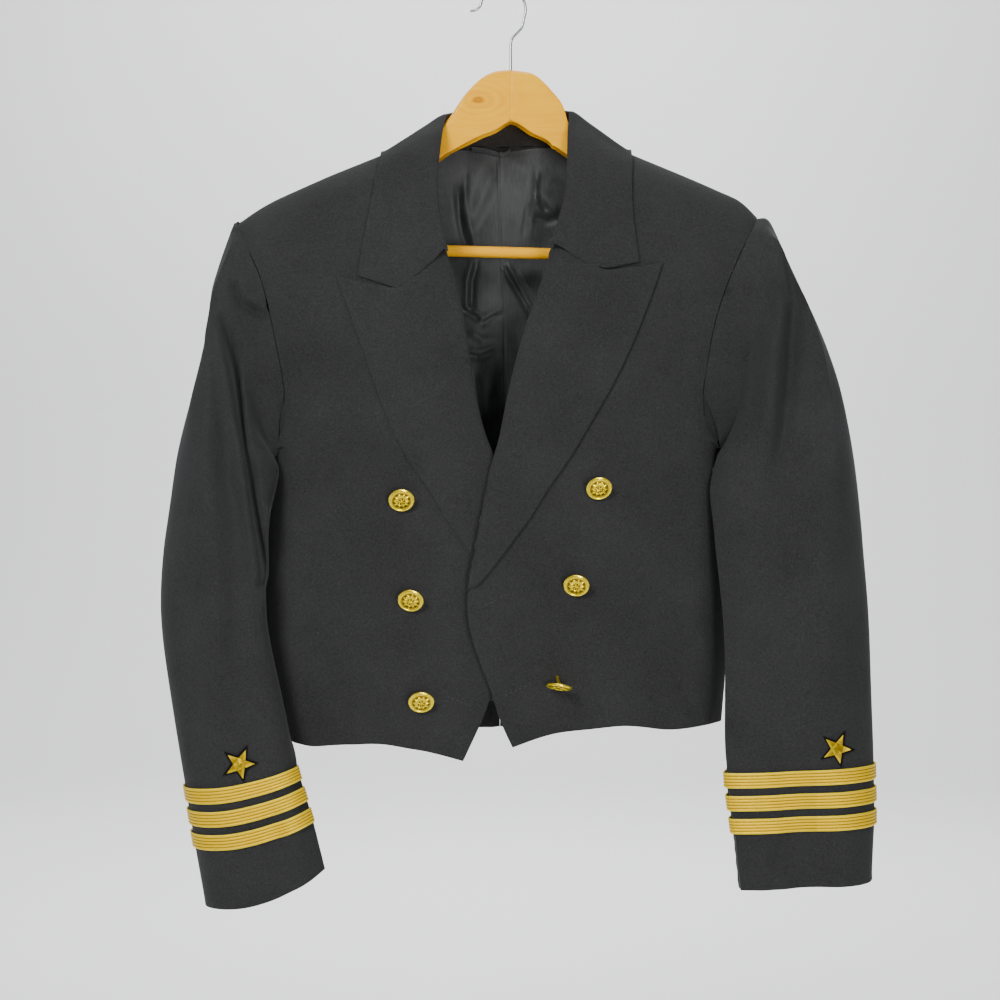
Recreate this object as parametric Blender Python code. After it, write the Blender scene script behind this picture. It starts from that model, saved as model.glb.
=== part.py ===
# A black mess jacket hanging open on a wooden hanger with a bar and a wire hook.
#
# Metres, +Z up, +X to the wearer's left, +Y to the back. The origin is the inner top of the hook's loop, where a
# rail holds it. "right" and "left" are the wearer's, so right is at -X. The tables are in millimetres.
#
# Each cloth panel is a grid of points on its outer surface, with a normal at each point. Two panels that are sewn
# together share the points and the normals of their seam, so their walls meet in a mitre, a seam's gap apart.

import math

import bmesh
import bpy
import numpy as np

MM = 0.001

# Walls and gaps
WOOL = 0.0016  # thickness of a wool panel
SATIN = 0.0010  # thickness of the lining
LACE = 0.0012  # thickness of the gold lace
SEAM = 0.0003  # gap between two panels at a seam
REST = 0.0007  # clearance under a layer that lies on a panel
LINING_EASE = 0.0025  # how far the lining hangs off the back below the neck

# Rows and columns of the panels
ARMHOLE_STEPS = 10  # from the shoulder point to the underarm, on the front and on the back
SIDE_STEPS = 12  # from the underarm to the hem
FRONT_STEPS = 10  # from the armhole to the front edge, and along the shoulder seam
RIDGE_STEP = 0.4  # the first row below the shoulder seam, as a share of the others
NECK_STEPS = 3  # from the shoulder seam's neck end to the centre back

# Body sections: half width, depth of the front and depth of the back at each height
BODY_COLUMNS = ("z", "right", "left", "front", "back")
BODY = (
    (-120, 256, 254, 34, 40),
    (-190, 252, 250, 43, 46),
    (-260, 243, 240, 47, 49),
    (-320, 228, 224, 50, 50),
    (-370, 213, 209, 51, 50),
    (-415, 204, 200, 52, 50),
    (-460, 206, 200, 52, 50),
    (-500, 209, 201, 51, 49),
    (-545, 211, 202, 51, 48),
    (-600, 205, 201, 50, 46),
    (-720, 187, 197, 47, 43),
)
SHOULDER_DROP = 0.070  # height over which the body rounds from its shoulder line to its full depth
SHOULDER_POWER = 2.2
FRONT_POWER = 3.0  # how square the front's plan is
BACK_POWER = 2.8
OVERLAP = 0.010  # how far the left front's edge stands forward, over the right lapel

# Shoulder line: height at each distance from the middle
SHOULDER = {
    "right": ((0, -104), (67, -135), (104, -149.5), (150, -168), (197, -188.5), (234, -209.5), (260, -228)),
    "left": ((0, -100), (80, -133.5), (117, -149.5), (169, -171), (197, -183), (218, -193.5), (229, -204), (245, -220)),
}

# Outlines, as (distance from the middle toward the panel's own side, height)
ARMHOLE_FRONT = {
    "right": ((234, -209.5), (218, -243), (208, -262), (202, -286), (195, -318), (189, -350), (187, -368),
              (189, -390), (196, -408), (204, -415)),
    "left": ((229, -204), (222, -216), (210, -240), (198, -266), (190, -291), (183, -316), (180, -337),
             (177, -356), (176, -372), (180, -392), (190, -408), (200, -415)),
}
ARMHOLE_BACK = {
    "right": ((234, -209.5), (222, -243), (213, -275), (207, -310), (203, -345), (201, -375), (202, -400), (204, -415)),
    "left": ((229, -204), (220, -238), (212, -272), (205, -308), (200, -345), (197, -375), (198, -400), (200, -415)),
}
# From the neck end of the shoulder seam down the roll line and the front edge to the front corner
FRONT_EDGE = {
    "right": ((67, -135), (64, -150), (61, -173), (58, -196), (54, -215), (48, -236), (39, -274), (33, -309),
              (26, -352), (17, -395), (7, -422), (3, -455), (1, -494), (1, -528), (3, -576), (9, -626),
              (16, -645), (24, -663), (32, -680)),
    "left": ((80, -133.5), (76, -148), (69, -173), (63, -187), (56, -209), (45, -239), (39, -261), (30, -291),
             (17, -335), (9, -369), (2, -404), (-5, -428), (-14, -465), (-21, -502), (-27, -537), (-28, -547),
             (-22, -578), (-9, -613), (3, -650), (11, -667)),
}
FRONT_HEM = {
    "right": ((192, -666), (182, -666), (167, -669), (141, -667), (98, -666), (80, -669), (62, -672), (32, -680)),
    "left": ((197, -651), (190, -650), (171, -652), (154, -654), (135, -653), (121, -650), (93, -651), (72, -653),
             (52, -655), (34, -659), (18, -665), (11, -667)),
}
BACK_HEM = {"right": ((192, -666), (100, -664), (0, -662)), "left": ((197, -651), (100, -657), (0, -662))}
BACK_NECK_Z = -0.1346

# Soft folds of the body: middle of the fold, half width, outward depth and the two heights it fades between
FOLD_COLUMNS = ("side", "face", "x", "top", "bottom", "half", "depth", "lean")
FOLDS = (
    ("right", "front", 150, -560, -700, 16, -3.0, 10),
    ("right", "front", 118, -600, -700, 14, 2.0, 12),
    ("left", "front", 160, -540, -700, 15, -3.5, -14),
    ("left", "front", 128, -600, -700, 14, 2.0, -6),
    ("right", "back", 120, -300, -700, 24, 4.0, 14),
    ("right", "back", 66, -420, -700, 20, -3.0, 8),
    ("left", "back", 134, -330, -700, 26, 4.5, 12),
    ("left", "back", 72, -460, -700, 20, -3.0, 6),
)

# Lapels: the outer edge from the peak to the break, and the notch's inner end
LAPEL_OUTER = {
    "right": ((141, -262), (121, -317), (86, -407), (75, -426), (58, -451), (43, -476), (30, -494), (22, -505), (9, -525)),
    "left": ((140, -250), (129, -282), (103, -343), (69, -403), (56, -424), (40, -446), (26, -469), (11, -489),
             (-2, -507), (-11, -518), (-20, -529)),
}
LAPEL_TOP = {
    "right": ((46.5, -240.8), (88, -274.1), (124, -266), (141, -262)),
    "left": ((44, -237.6), (89, -257.1), (121, -254), (140, -250)),
}
LAPEL_BREAK = {"right": -528, "left": -533}  # height where the roll ends
LAPEL_ROWS = 16
LAPEL_COLUMNS = 6
ROLL = 0.0031  # radius of a rolled edge's outside, round a panel

# Collar: its roll and the outer edge of its fall, from the gorge (station 0) over the shoulder (1) to the centre
# back (2). The edge lies on the front or the back of the body.
COLLAR_COLUMNS = ("station", "roll_x", "roll_y", "roll_z", "edge_x", "edge_z", "face")
COLLAR = {
    "right": (
        (0.00, 46, -51, -240, 123, -261, "front"),
        (0.25, 51, -49, -216, 119, -238, "front"),
        (0.50, 54, -47, -193, 113, -207, "front"),
        (0.75, 54, -36, -161, 108, -178, "front"),
        (0.90, 51, -19, -132, 105, -160, "front"),
        (1.00, 48, -2, -114, 104, -150, "front"),
        (1.15, 44, 13, -109, 99, -160, "back"),
        (1.40, 33, 27, -105, 77, -163, "back"),
        (1.70, 17, 35, -103, 40, -158, "back"),
        (2.00, 0, 38, -102, 0, -156, "back"),
    ),
    "left": (
        (0.00, 44, -51, -236, 120, -249, "front"),
        (0.25, 52, -49, -211, 117, -228, "front"),
        (0.50, 58, -47, -188, 114, -203, "front"),
        (0.75, 59, -36, -159, 114, -177, "front"),
        (0.90, 60, -19, -133, 115, -160, "front"),
        (1.00, 62, -2, -111, 115, -150, "front"),
        (1.15, 57, 13, -107, 108, -160, "back"),
        (1.40, 42, 27, -104.5, 84, -163, "back"),
        (1.70, 21, 35, -103, 42, -158, "back"),
        (2.00, 0, 38, -102, 0, -156, "back"),
    ),
}
GORGE = {"right": ((46, -240), (88, -273), (123, -261)), "left": ((44, -236), (89, -256), (120, -249))}
COLLAR_STATIONS = [0, 0.14, 0.28, 0.42, 0.56, 0.7, 0.82, 0.9, 0.96, 1.0, 1.03, 1.08, 1.18, 1.38, 1.6, 1.8, 2.0]
STAND_SPREAD = 0.0026  # half the distance between the stand and the fall at the roll

# Sleeves: one row for each ring from below the shoulder to the cuff. out and in are the ring's outer and inner
# edges, near and far its depths. The ridge, crease and lobe run down the front of the sleeve, at shares of the
# way from the outer edge to the inner one, and deep is the crease's depth. bow bends the ring's plane.
SLEEVE_COLUMNS = ("out_x", "out_z", "in_x", "in_z", "near", "far", "ridge", "crease", "lobe", "deep", "bow")
SLEEVE = {
    "right": (
        (237, -211, 203, -417, -36, 38, 0.26, 0.40, 0.62, 0, 1.0),
        (253, -258, 203, -420, -47, 46, 0.22, 0.36, 0.62, 1, 1.0),
        (258, -313, 199, -427, -58, 52, 0.14, 0.30, 0.62, 6, 1.0),
        (272, -362, 196, -436, -64, 57, 0.20, 0.44, 0.72, 11, 1.0),
        (284, -412, 195, -446, -68, 60, 0.32, 0.60, 0.82, 12, 1.0),
        (290, -457, 198, -470, -71, 57, 0.44, 0.76, 0.90, 9, 1.0),
        (296, -506, 201, -510, -72, 51, 0.52, 0.80, 0.92, 4, 1.0),
        (297, -553, 201, -553, -73, 41, 0.54, 0.76, 0.92, 1, 1.0),
        (290, -607, 193, -596, -74, 27, 0.52, 0.74, 0.90, 0, 1.3),
        (280, -664, 179, -655, -75, 13, 0.42, 0.70, 0.90, 0, 1.7),
        (273, -701, 174, -682, -76, 5, 0.36, 0.66, 0.88, 0, 2.0),
        (264, -753, 159, -729, -76, -2, 0.32, 0.64, 0.88, 0, 2.2),
        (255, -803, 148, -768, -76, -8, 0.30, 0.64, 0.88, -1, 2.4),
    ),
    "left": (
        (240, -207, 199, -417, -36, 38, 0.20, 0.34, 0.50, 0, 1.0),
        (257, -245, 195, -420, -48, 45, 0.14, 0.26, 0.38, 2, 1.0),
        (283, -304, 188, -426, -57, 48, 0.10, 0.30, 0.44, 4, 1.0),
        (299, -350, 184, -435, -62, 47, 0.12, 0.36, 0.51, 5, 1.0),
        (311, -411, 182, -447, -66, 43, 0.16, 0.44, 0.61, 4, 1.0),
        (316, -460, 184, -470, -67, 37, 0.22, 0.50, 0.70, 2, 1.0),
        (319, -507, 187, -508, -68, 29, 0.28, 0.52, 0.76, 0, 1.0),
        (322, -555, 190, -553, -68, 19, 0.30, 0.54, 0.80, 0, 1.0),
        (323, -611, 190, -606, -69, 9, 0.30, 0.55, 0.82, 0, 1.0),
        (324, -660, 188, -660, -70, 1, 0.30, 0.56, 0.82, 0, 1.0),
        (324, -682, 188, -688, -70, -5, 0.28, 0.52, 0.80, 2, 1.0),
        (324, -734, 194, -740, -70, -13, 0.24, 0.50, 0.78, 4, 1.0),
        (322, -782, 199, -788, -70, -19, 0.20, 0.48, 0.76, 6, 1.0),
    ),
}
STRIPE_TOP = 11  # the table's ring at the top of the first stripe; the next one is at the foot of the last
UNDER_TUCK = 13 * MM  # how far the underarm line lies outside the sleeve's inner front edge
UNDER_CLEAR = 4.5 * MM  # and its least distance from the body's side, above the hem
BODY_FOOT = -675 * MM
FRONT_SEAM = 9  # place of the sleeve's front seam round a ring, counted from the outer line
BACK_SEAM = 18

# Lace, stars and buttons
STRIPE_WIDTH = 12.7
STRIPE_GAP = 6.35
STRIPES = 3
STRIPE_SPAN = STRIPES * STRIPE_WIDTH + (STRIPES - 1) * STRIPE_GAP
STRIPE_EDGES = [
    STRIPE_TOP + (number * (STRIPE_WIDTH + STRIPE_GAP) + edge) / STRIPE_SPAN
    for number in range(STRIPES)
    for edge in (0, STRIPE_WIDTH)
]
# The rings that a sleeve is built from, as places in its table; 0 is the armhole.
SLEEVE_RINGS = [0, 1, 2, 2.5, 3, 3.5, 4, 4.5, 5, 5.5, 6, 6.5, 7, 8, 9, 10, *STRIPE_EDGES, 13]
STAR_RADIUS = 0.0148
STAR_WAIST = 0.42  # radius of a star's inner corners, as a share of its points'
STAR_HEIGHT = 0.0028
STAR_BACKING = 0.0022  # margin of the backing round the star
# place along the sleeve, in rings; place round it, in steps; turn in degrees
STAR_PLACE = {"right": (10.5, 4.8, 10), "left": (10.27, 3.02, -12)}

BUTTON_RADIUS = 0.0112
BUTTON_PROFILE = ((1.8, 0.0), (1.8, 6.4), (10.4, 6.9), (11.2, 8.0), (10.6, 8.9), (9.2, 8.6), (5.0, 10.0), (0.0, 10.4))
BUTTON_COLUMNS = ("side", "x", "z", "tilt", "shank", "roll")
BUTTONS = (
    ("right", 85, -450, 34, 8.5, 4),
    ("right", 76, -536, 33, 8.5, -3),
    ("right", 68, -623, 34, 8.5, 3),
    ("left", 84, -440, 33, 8.5, 5),
    ("left", 66, -523, 34, 8.5, -4),
    ("left", 49, -607, 74, 11.6, -8),
)
BUTTON_SIDES = 16

# Hanger: top and bottom of an arm at each distance from X = 0, then its half depth. The end holds the bar.
HANGER_MIDDLE = 9.8 * MM
ARM_COLUMNS = ("x", "top", "bottom", "half")
ARMS = {
    "right": (
        (-9.6, -73, -120, 8), (4, -74, -127.5, 8), (16, -80, -133.5, 8), (26, -89, -139, 8), (35, -100, -143.5, 8),
        (42, -111, -147, 8), (49, -120, -151, 8), (60, -134, -156.5, 8), (70, -142, -161, 8),
        (104, -152.6, -178, 8), (150, -171.2, -198, 7.5), (203.7, -195.0, -219, 7), (204.1, -195.2, -238, 7),
        (214, -201.0, -239, 6.5), (220, -207.5, -236, 4.5),
    ),
    "left": (
        (10.0, -73, -120, 8), (25, -75, -129, 8), (34, -80, -134.5, 8), (43, -89, -139.5, 8), (51, -97, -145, 8),
        (57, -108, -148.5, 8), (61.5, -121.5, -151, 8), (70, -133.5, -155, 8), (82, -138.8, -160.5, 8),
        (117, -153.0, -177, 8), (169, -174.2, -202, 7.5), (203.7, -189.7, -222, 7), (204.1, -189.9, -250, 7),
        (214, -195.4, -251, 6.5), (220, -202.5, -248, 4.5),
    ),
}
BAR_RADIUS = 0.005
BAR_HALF = 0.2034
BAR_Z = -0.2348
BAR_SLOPE = -0.0288
WIRE_RADIUS = 0.0012
LOOP_RADIUS = 0.0203
LOOP_MIDDLE = (0.0025, -0.0191)

SIGN = {"right": -1.0, "left": 1.0}


def rows_of(columns, rows):
    """The rows of a table as dictionaries."""
    return [dict(zip(columns, row)) for row in rows]


def at_height(name, z):
    """A column of the body table at a height, in metres."""
    heights = [row["z"] * MM for row in reversed(rows_of(BODY_COLUMNS, BODY))]
    values = [row[name] * MM for row in reversed(rows_of(BODY_COLUMNS, BODY))]
    return float(np.interp(z, heights, values))


def shoulder_height(side, x):
    table = np.array(SHOULDER[side]) * MM
    return float(np.interp(abs(x), table[:, 0], table[:, 1]))


def ease(start, end, value):
    """0 at start and 1 at end, smooth at both."""
    share = min(1.0, max(0.0, (value - start) / (end - start)))
    return share * share * (3 - 2 * share)


def rounding(side, x, z):
    """0 on the shoulder line, 1 once the body has its full depth."""
    drop = min(1.0, max(0.0, shoulder_height(side, x) - z) / SHOULDER_DROP)
    return (1 - (1 - drop) ** SHOULDER_POWER) ** (1 / SHOULDER_POWER)


def fold_depth(side, face, x, z):
    """How far the soft folds move the body out at this place."""
    total = 0.0
    for fold in rows_of(FOLD_COLUMNS, FOLDS):
        if (fold["side"], fold["face"]) != (side, face):
            continue
        down = (fold["top"] * MM - z) / ((fold["top"] - fold["bottom"]) * MM)
        middle = (fold["x"] + fold["lean"] * down) * MM
        across = (abs(x) - middle) / (fold["half"] * MM)
        total += fold["depth"] * MM * math.exp(-across * across) * ease(0, 0.5, down)
    return total


def body_depth(side, face, x, z):
    """Y of the body's outer surface on the front or the back."""
    power = FRONT_POWER if face == "front" else BACK_POWER
    share = min(1.0, abs(x) / at_height(side, z))
    plan = max(0.0, 1 - share**power) ** (1 / power)
    depth = at_height(face, z) * rounding(side, x, z) * plan
    depth += fold_depth(side, face, x, z) * min(1.0, 3 * plan)
    if face == "back":
        return depth
    if side == "left":
        depth += OVERLAP * ease(0.075, -0.020, x) * ease(-0.28, -0.42, z)
    else:
        depth -= 0.002 * ease(-0.060, 0.0, x) * ease(-0.28, -0.42, z)
    return -depth


def body_normal(side, face, x, z):
    step = 0.001
    by_x = (body_depth(side, face, x + step, z) - body_depth(side, face, x - step, z)) / (2 * step)
    by_z = (body_depth(side, face, x, z + step) - body_depth(side, face, x, z - step)) / (2 * step)
    out = np.array((by_x, -1, by_z)) if face == "front" else np.array((-by_x, 1, -by_z))
    return out / np.linalg.norm(out)


def on_body(side, face, x, z, off=0.0):
    """A point off the body's outer surface, along its normal."""
    point = np.array((x, body_depth(side, face, x, z), z))
    return point + off * body_normal(side, face, x, z) if off else point


def cleared(side, point, off):
    """The point, moved away from the body's profile at its own x until it is off it by this much."""
    x, place = point[0], np.array(point[1:])
    face = "front" if point[1] < 0 else "back"
    top = shoulder_height(side, x)
    reach = max(0.02, top - point[2] + 0.02)
    heights = top - reach * np.linspace(0, 1, 70) ** 2
    profile = np.array([(body_depth(side, face, x, z), z) for z in heights])
    away = place - profile
    gaps = np.linalg.norm(away, axis=1)
    nearest = int(gaps.argmin())
    inside = point[2] < top and abs(point[1]) < abs(body_depth(side, face, x, point[2]))
    if gaps[nearest] >= off and not inside:
        return point
    way = away[nearest] / gaps[nearest] * (-1 if inside else 1)
    return np.array((x, *(profile[nearest] + off * way)))


def smooth_through(points, fine=12):
    """A smooth curve through the points, with some more points on each stretch."""
    points = np.array(points, float)
    if len(points) < 3:
        return points
    gaps = np.linalg.norm(np.diff(points, axis=0), axis=1)
    slopes = np.diff(points, axis=0) / gaps[:, None]
    tangents = np.empty_like(points)
    tangents[0] = slopes[0]
    tangents[-1] = slopes[-1]
    weights = gaps[1:] / (gaps[:-1] + gaps[1:])
    tangents[1:-1] = weights[:, None] * slopes[:-1] + (1 - weights)[:, None] * slopes[1:]
    out = [points[0]]
    for i, gap in enumerate(gaps):
        for t in np.linspace(0, 1, fine + 1)[1:]:
            out.append(
                (2 * t**3 - 3 * t**2 + 1) * points[i]
                + (t**3 - 2 * t**2 + t) * gap * tangents[i]
                + (3 * t**2 - 2 * t**3) * points[i + 1]
                + (t**3 - t**2) * gap * tangents[i + 1]
            )
    return np.array(out)


def spaced(points, count, first=1.0):
    """count + 1 points, evenly spaced along a polyline but for the first step, which can be a share of the rest."""
    points = np.array(points, float)
    lengths = np.concatenate([[0], np.cumsum(np.linalg.norm(np.diff(points, axis=0), axis=1))])
    steps = np.array([first] + [1.0] * (count - 1))
    wanted = np.concatenate([[0], np.cumsum(steps)]) / steps.sum() * lengths[-1]
    return np.stack([np.interp(wanted, lengths, points[:, i]) for i in range(points.shape[1])], axis=1)


def outline(side, table):
    """A table's outline as a smooth curve of (x, z) in metres."""
    return smooth_through([(SIGN[side] * x * MM, z * MM) for x, z in table])


def along_body(side, face, table, count, first=1.0):
    """An outline's points, evenly spaced as they lie on the body, as (x, z)."""
    curve = outline(side, table)
    solid = np.array([on_body(side, face, x, z) for x, z in curve])
    return spaced(solid, count, first)[:, [0, 2]]


def coons(top, bottom, first, last):
    """A grid of points between four edges. top and bottom run from the first edge to the last."""
    rows, columns = len(first), len(top)
    v = np.linspace(0, 1, rows)[:, None, None]
    u = np.linspace(0, 1, columns)[None, :, None]
    across = (1 - u) * first[:, None, :] + u * last[:, None, :]
    down = (1 - v) * top[None, :, :] + v * bottom[None, :, :]
    corners = (1 - v) * ((1 - u) * top[0] + u * top[-1]) + v * ((1 - u) * bottom[0] + u * bottom[-1])
    return across + down - corners


def grid_normals(grid, outward, closed=False):
    """Unit normals of a grid, on the side where the function outward says so."""
    if closed:
        along = np.roll(grid, -1, axis=1) - np.roll(grid, 1, axis=1)
    else:
        along = np.gradient(grid, axis=1)
    normals = np.cross(along, np.gradient(grid, axis=0))
    lengths = np.linalg.norm(normals, axis=2, keepdims=True)
    normals = normals / np.maximum(lengths, 1e-12)
    middle = normals[grid.shape[0] // 2, grid.shape[1] // 2]
    if np.dot(middle, outward) < 0:
        normals = -normals
    return normals


def share_normals(first, second):
    """The mean of two rows of normals, as unit vectors."""
    mean = first + second
    return mean / np.linalg.norm(mean, axis=-1, keepdims=True)


def pulled(surface, edge, gap):
    """The grid with one of its edges moved back from its seam."""
    surface = surface.copy()
    if edge == "top":
        away = surface[1] - surface[0]
        surface[0] += gap * away / np.linalg.norm(away, axis=1, keepdims=True)
    elif edge == "first":
        away = surface[:, 1] - surface[:, 0]
        surface[:, 0] += gap * away / np.linalg.norm(away, axis=1, keepdims=True)
    elif edge == "last":
        away = surface[:, -2] - surface[:, -1]
        surface[:, -1] += gap * away / np.linalg.norm(away, axis=1, keepdims=True)
    return surface


def add_mesh(name, points, faces, material):
    mesh = bpy.data.meshes.new(name)
    mesh.from_pydata([tuple(float(v) for v in point) for point in points], [], faces)
    mesh.validate()
    work = bmesh.new()
    work.from_mesh(mesh)
    bmesh.ops.recalc_face_normals(work, faces=work.faces)
    bmesh.ops.triangulate(work, faces=work.faces)
    work.to_mesh(mesh)
    work.free()
    mesh.shade_smooth()
    mesh.set_sharp_from_angle(angle=math.radians(50))
    thing = bpy.data.objects.new(name, mesh)
    thing.data.materials.append(material)
    bpy.data.collections["mess_jacket"].objects.link(thing)
    return thing


def wall(name, grid, normals, thickness, material, seams=(), gap=SEAM / 2 + 0.00002, closed=False):
    """A closed wall on the inner side of a grid, or all round a tube when closed."""
    outer = grid
    inner = grid - thickness * normals
    for edge in seams:
        outer = pulled(outer, edge, gap)
        inner = pulled(inner, edge, gap)
    rows, columns = grid.shape[:2]
    points = np.concatenate([outer.reshape(-1, 3), inner.reshape(-1, 3)])
    half = rows * columns

    def at(layer, i, j):
        return layer * half + i * columns + j % columns

    faces = []
    for i in range(rows - 1):
        for j in range(columns if closed else columns - 1):
            faces.append((at(0, i, j), at(0, i, j + 1), at(0, i + 1, j + 1), at(0, i + 1, j)))
            faces.append((at(1, i, j), at(1, i + 1, j), at(1, i + 1, j + 1), at(1, i, j + 1)))
    for j in range(columns if closed else columns - 1):
        for i in (0, rows - 1):
            faces.append((at(0, i, j), at(1, i, j), at(1, i, j + 1), at(0, i, j + 1)))
    if not closed:
        for i in range(rows - 1):
            for j in (0, columns - 1):
                faces.append((at(0, i, j), at(0, i + 1, j), at(1, i + 1, j), at(1, i, j)))
    return add_mesh(name, points, faces, material)


def make_material(name, colour, roughness, metallic=0.0):
    material = bpy.data.materials.new(name)
    material.use_nodes = True
    shader = material.node_tree.nodes["Principled BSDF"]
    shader.inputs["Base Color"].default_value = (*colour, 1)
    shader.inputs["Roughness"].default_value = roughness
    shader.inputs["Metallic"].default_value = metallic
    material.diffuse_color = (*colour, 1)
    return material


def body_grids():
    """The four body panels' grids, from the shoulder to the hem and from the armhole inward."""
    grids = {}
    rows = ARMHOLE_STEPS + SIDE_STEPS
    for side in ("right", "left"):
        sign = SIGN[side]
        edge = FRONT_EDGE[side]
        tip = ARMHOLE_FRONT[side][0]
        neck = edge[0]
        across = spaced([(sign * x * MM, 0) for x in (tip[0], neck[0])], FRONT_STEPS)[:, 0]
        shoulder = np.array([(x, shoulder_height(side, x)) for x in across])
        hem = along_body(side, "front", FRONT_HEM[side], FRONT_STEPS)
        armpit = ARMHOLE_FRONT[side][-1]
        seam = [(at_height(side, z * MM) / MM, z) for z in (-460, -500, -545, -600)]
        seam = [armpit, *seam, FRONT_HEM[side][0]]
        side_seam = spaced(outline(side, seam), SIDE_STEPS)[1:]
        holes = [
            along_body(side, face, table[side], ARMHOLE_STEPS, RIDGE_STEP)
            for face, table in (("front", ARMHOLE_FRONT), ("back", ARMHOLE_BACK))
        ]
        front_first, back_first = (np.concatenate([hole, side_seam]) for hole in holes)
        front_last = along_body(side, "front", edge, rows, RIDGE_STEP)
        grids["front_" + side] = coons(shoulder, hem, front_first, front_last)

        turn = np.linspace(0, 1, NECK_STEPS + 1)[1:, None]
        neck_end = shoulder[-1]
        curve = np.concatenate([neck_end[0] * (1 - turn**1.2), neck_end[1] + turn * (BACK_NECK_Z - neck_end[1])], axis=1)
        top = np.concatenate([shoulder, curve])
        columns = FRONT_STEPS + NECK_STEPS
        back_hem = along_body(side, "back", BACK_HEM[side], columns)
        middle = spaced([(0, BACK_NECK_Z), (0, BACK_HEM[side][-1][1] * MM)], rows)
        grids["back_" + side] = coons(top, back_hem, back_first, middle)

    solid = {}
    for name, grid in grids.items():
        face, side = name.split("_")
        solid[name] = np.array([[on_body(side, face, x, z) for x, z in row] for row in grid])
    for side in ("right", "left"):
        front, back = solid["front_" + side], solid["back_" + side]
        # The shoulder seam, the shoulder point, the underarm and the side seam lie midway between the two faces.
        front[0, :, 1] = 0
        back[0, : FRONT_STEPS + 1, 1] = 0
        front[ARMHOLE_STEPS:, 0, 1] = 0
        back[ARMHOLE_STEPS:, 0, 1] = 0
        back[ARMHOLE_STEPS:, 0] = front[ARMHOLE_STEPS:, 0]
    return solid


def sleeve_ring(side, row):
    """One ring of a sleeve: its front from the outer line to the underarm line, then its back."""
    sign = SIGN[side]
    out_x, in_x = row["out_x"] * MM, row["in_x"] * MM
    near, far, deep = row["near"] * MM, row["far"] * MM, row["deep"] * MM
    middle = near + 0.55 * (far - near)

    def place(share, y):
        return (out_x + share * (in_x - out_x), y)

    under_x = in_x + UNDER_TUCK
    if row["in_z"] * MM > BODY_FOOT:
        beside = min(row["in_z"], ARMHOLE_FRONT[side][-1][1]) * MM
        under_x = max(under_x, at_height(side, beside) + UNDER_CLEAR)
    inner_y = near + 0.22 * (far - near)
    knots = [
        place(0.0, middle),
        place(0.04, 0.5 * (middle + near)),
        place(row["ridge"], near),
        place(row["crease"], near + deep),
        place(row["lobe"], near + 0.3 * max(deep, 0)),
        (in_x, inner_y),
        (in_x + 0.75 * (under_x - in_x), inner_y + 0.35 * (middle - inner_y)),
        (under_x, middle),
        place(0.70, far - 0.05 * (far - near)),
        place(0.34, far),
        place(0.07, far - 0.25 * (far - near)),
        place(0.0, middle),
    ]
    fine = 12
    curve = smooth_through(knots, fine)
    split = 7 * fine
    halves = [spaced(curve[: split + 1], ARMHOLE_STEPS), spaced(curve[split:], ARMHOLE_STEPS)]
    plan = np.concatenate([halves[0][:-1], halves[1][:-1]])
    share = np.clip((out_x - plan[:, 0]) / (out_x - in_x), 0, 1.2)
    z = (row["out_z"] + (row["in_z"] - row["out_z"]) * share ** row["bow"]) * MM
    return np.stack([sign * plan[:, 0], plan[:, 1], z], axis=1)


def sleeve_rings(side, bodies):
    """All rings of a sleeve, the first on the armhole."""
    front = bodies["front_" + side][: ARMHOLE_STEPS + 1, 0]
    back = bodies["back_" + side][: ARMHOLE_STEPS + 1, 0]
    armhole = np.concatenate([front[:-1], back[ARMHOLE_STEPS:0:-1]])
    keys = [armhole] + [sleeve_ring(side, row) for row in rows_of(SLEEVE_COLUMNS, SLEEVE[side])]
    keys = np.array(keys)
    fine = 8
    lines = [smooth_through(keys[:, i], fine) for i in range(keys.shape[1])]
    fine_rings = np.array(lines).transpose(1, 0, 2)
    return np.array([fine_rings[int(round(place * fine))] for place in SLEEVE_RINGS])


def ring_normals(rings):
    """Normals of a sleeve's tube, away from its middle."""
    along = np.roll(rings, -1, axis=1) - np.roll(rings, 1, axis=1)
    down = np.gradient(rings, axis=0)
    normals = np.cross(along, down)
    normals /= np.linalg.norm(normals, axis=2, keepdims=True)
    out = rings - rings.mean(axis=1, keepdims=True)
    if (normals * out).sum() < 0:
        normals = -normals
    return normals


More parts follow.
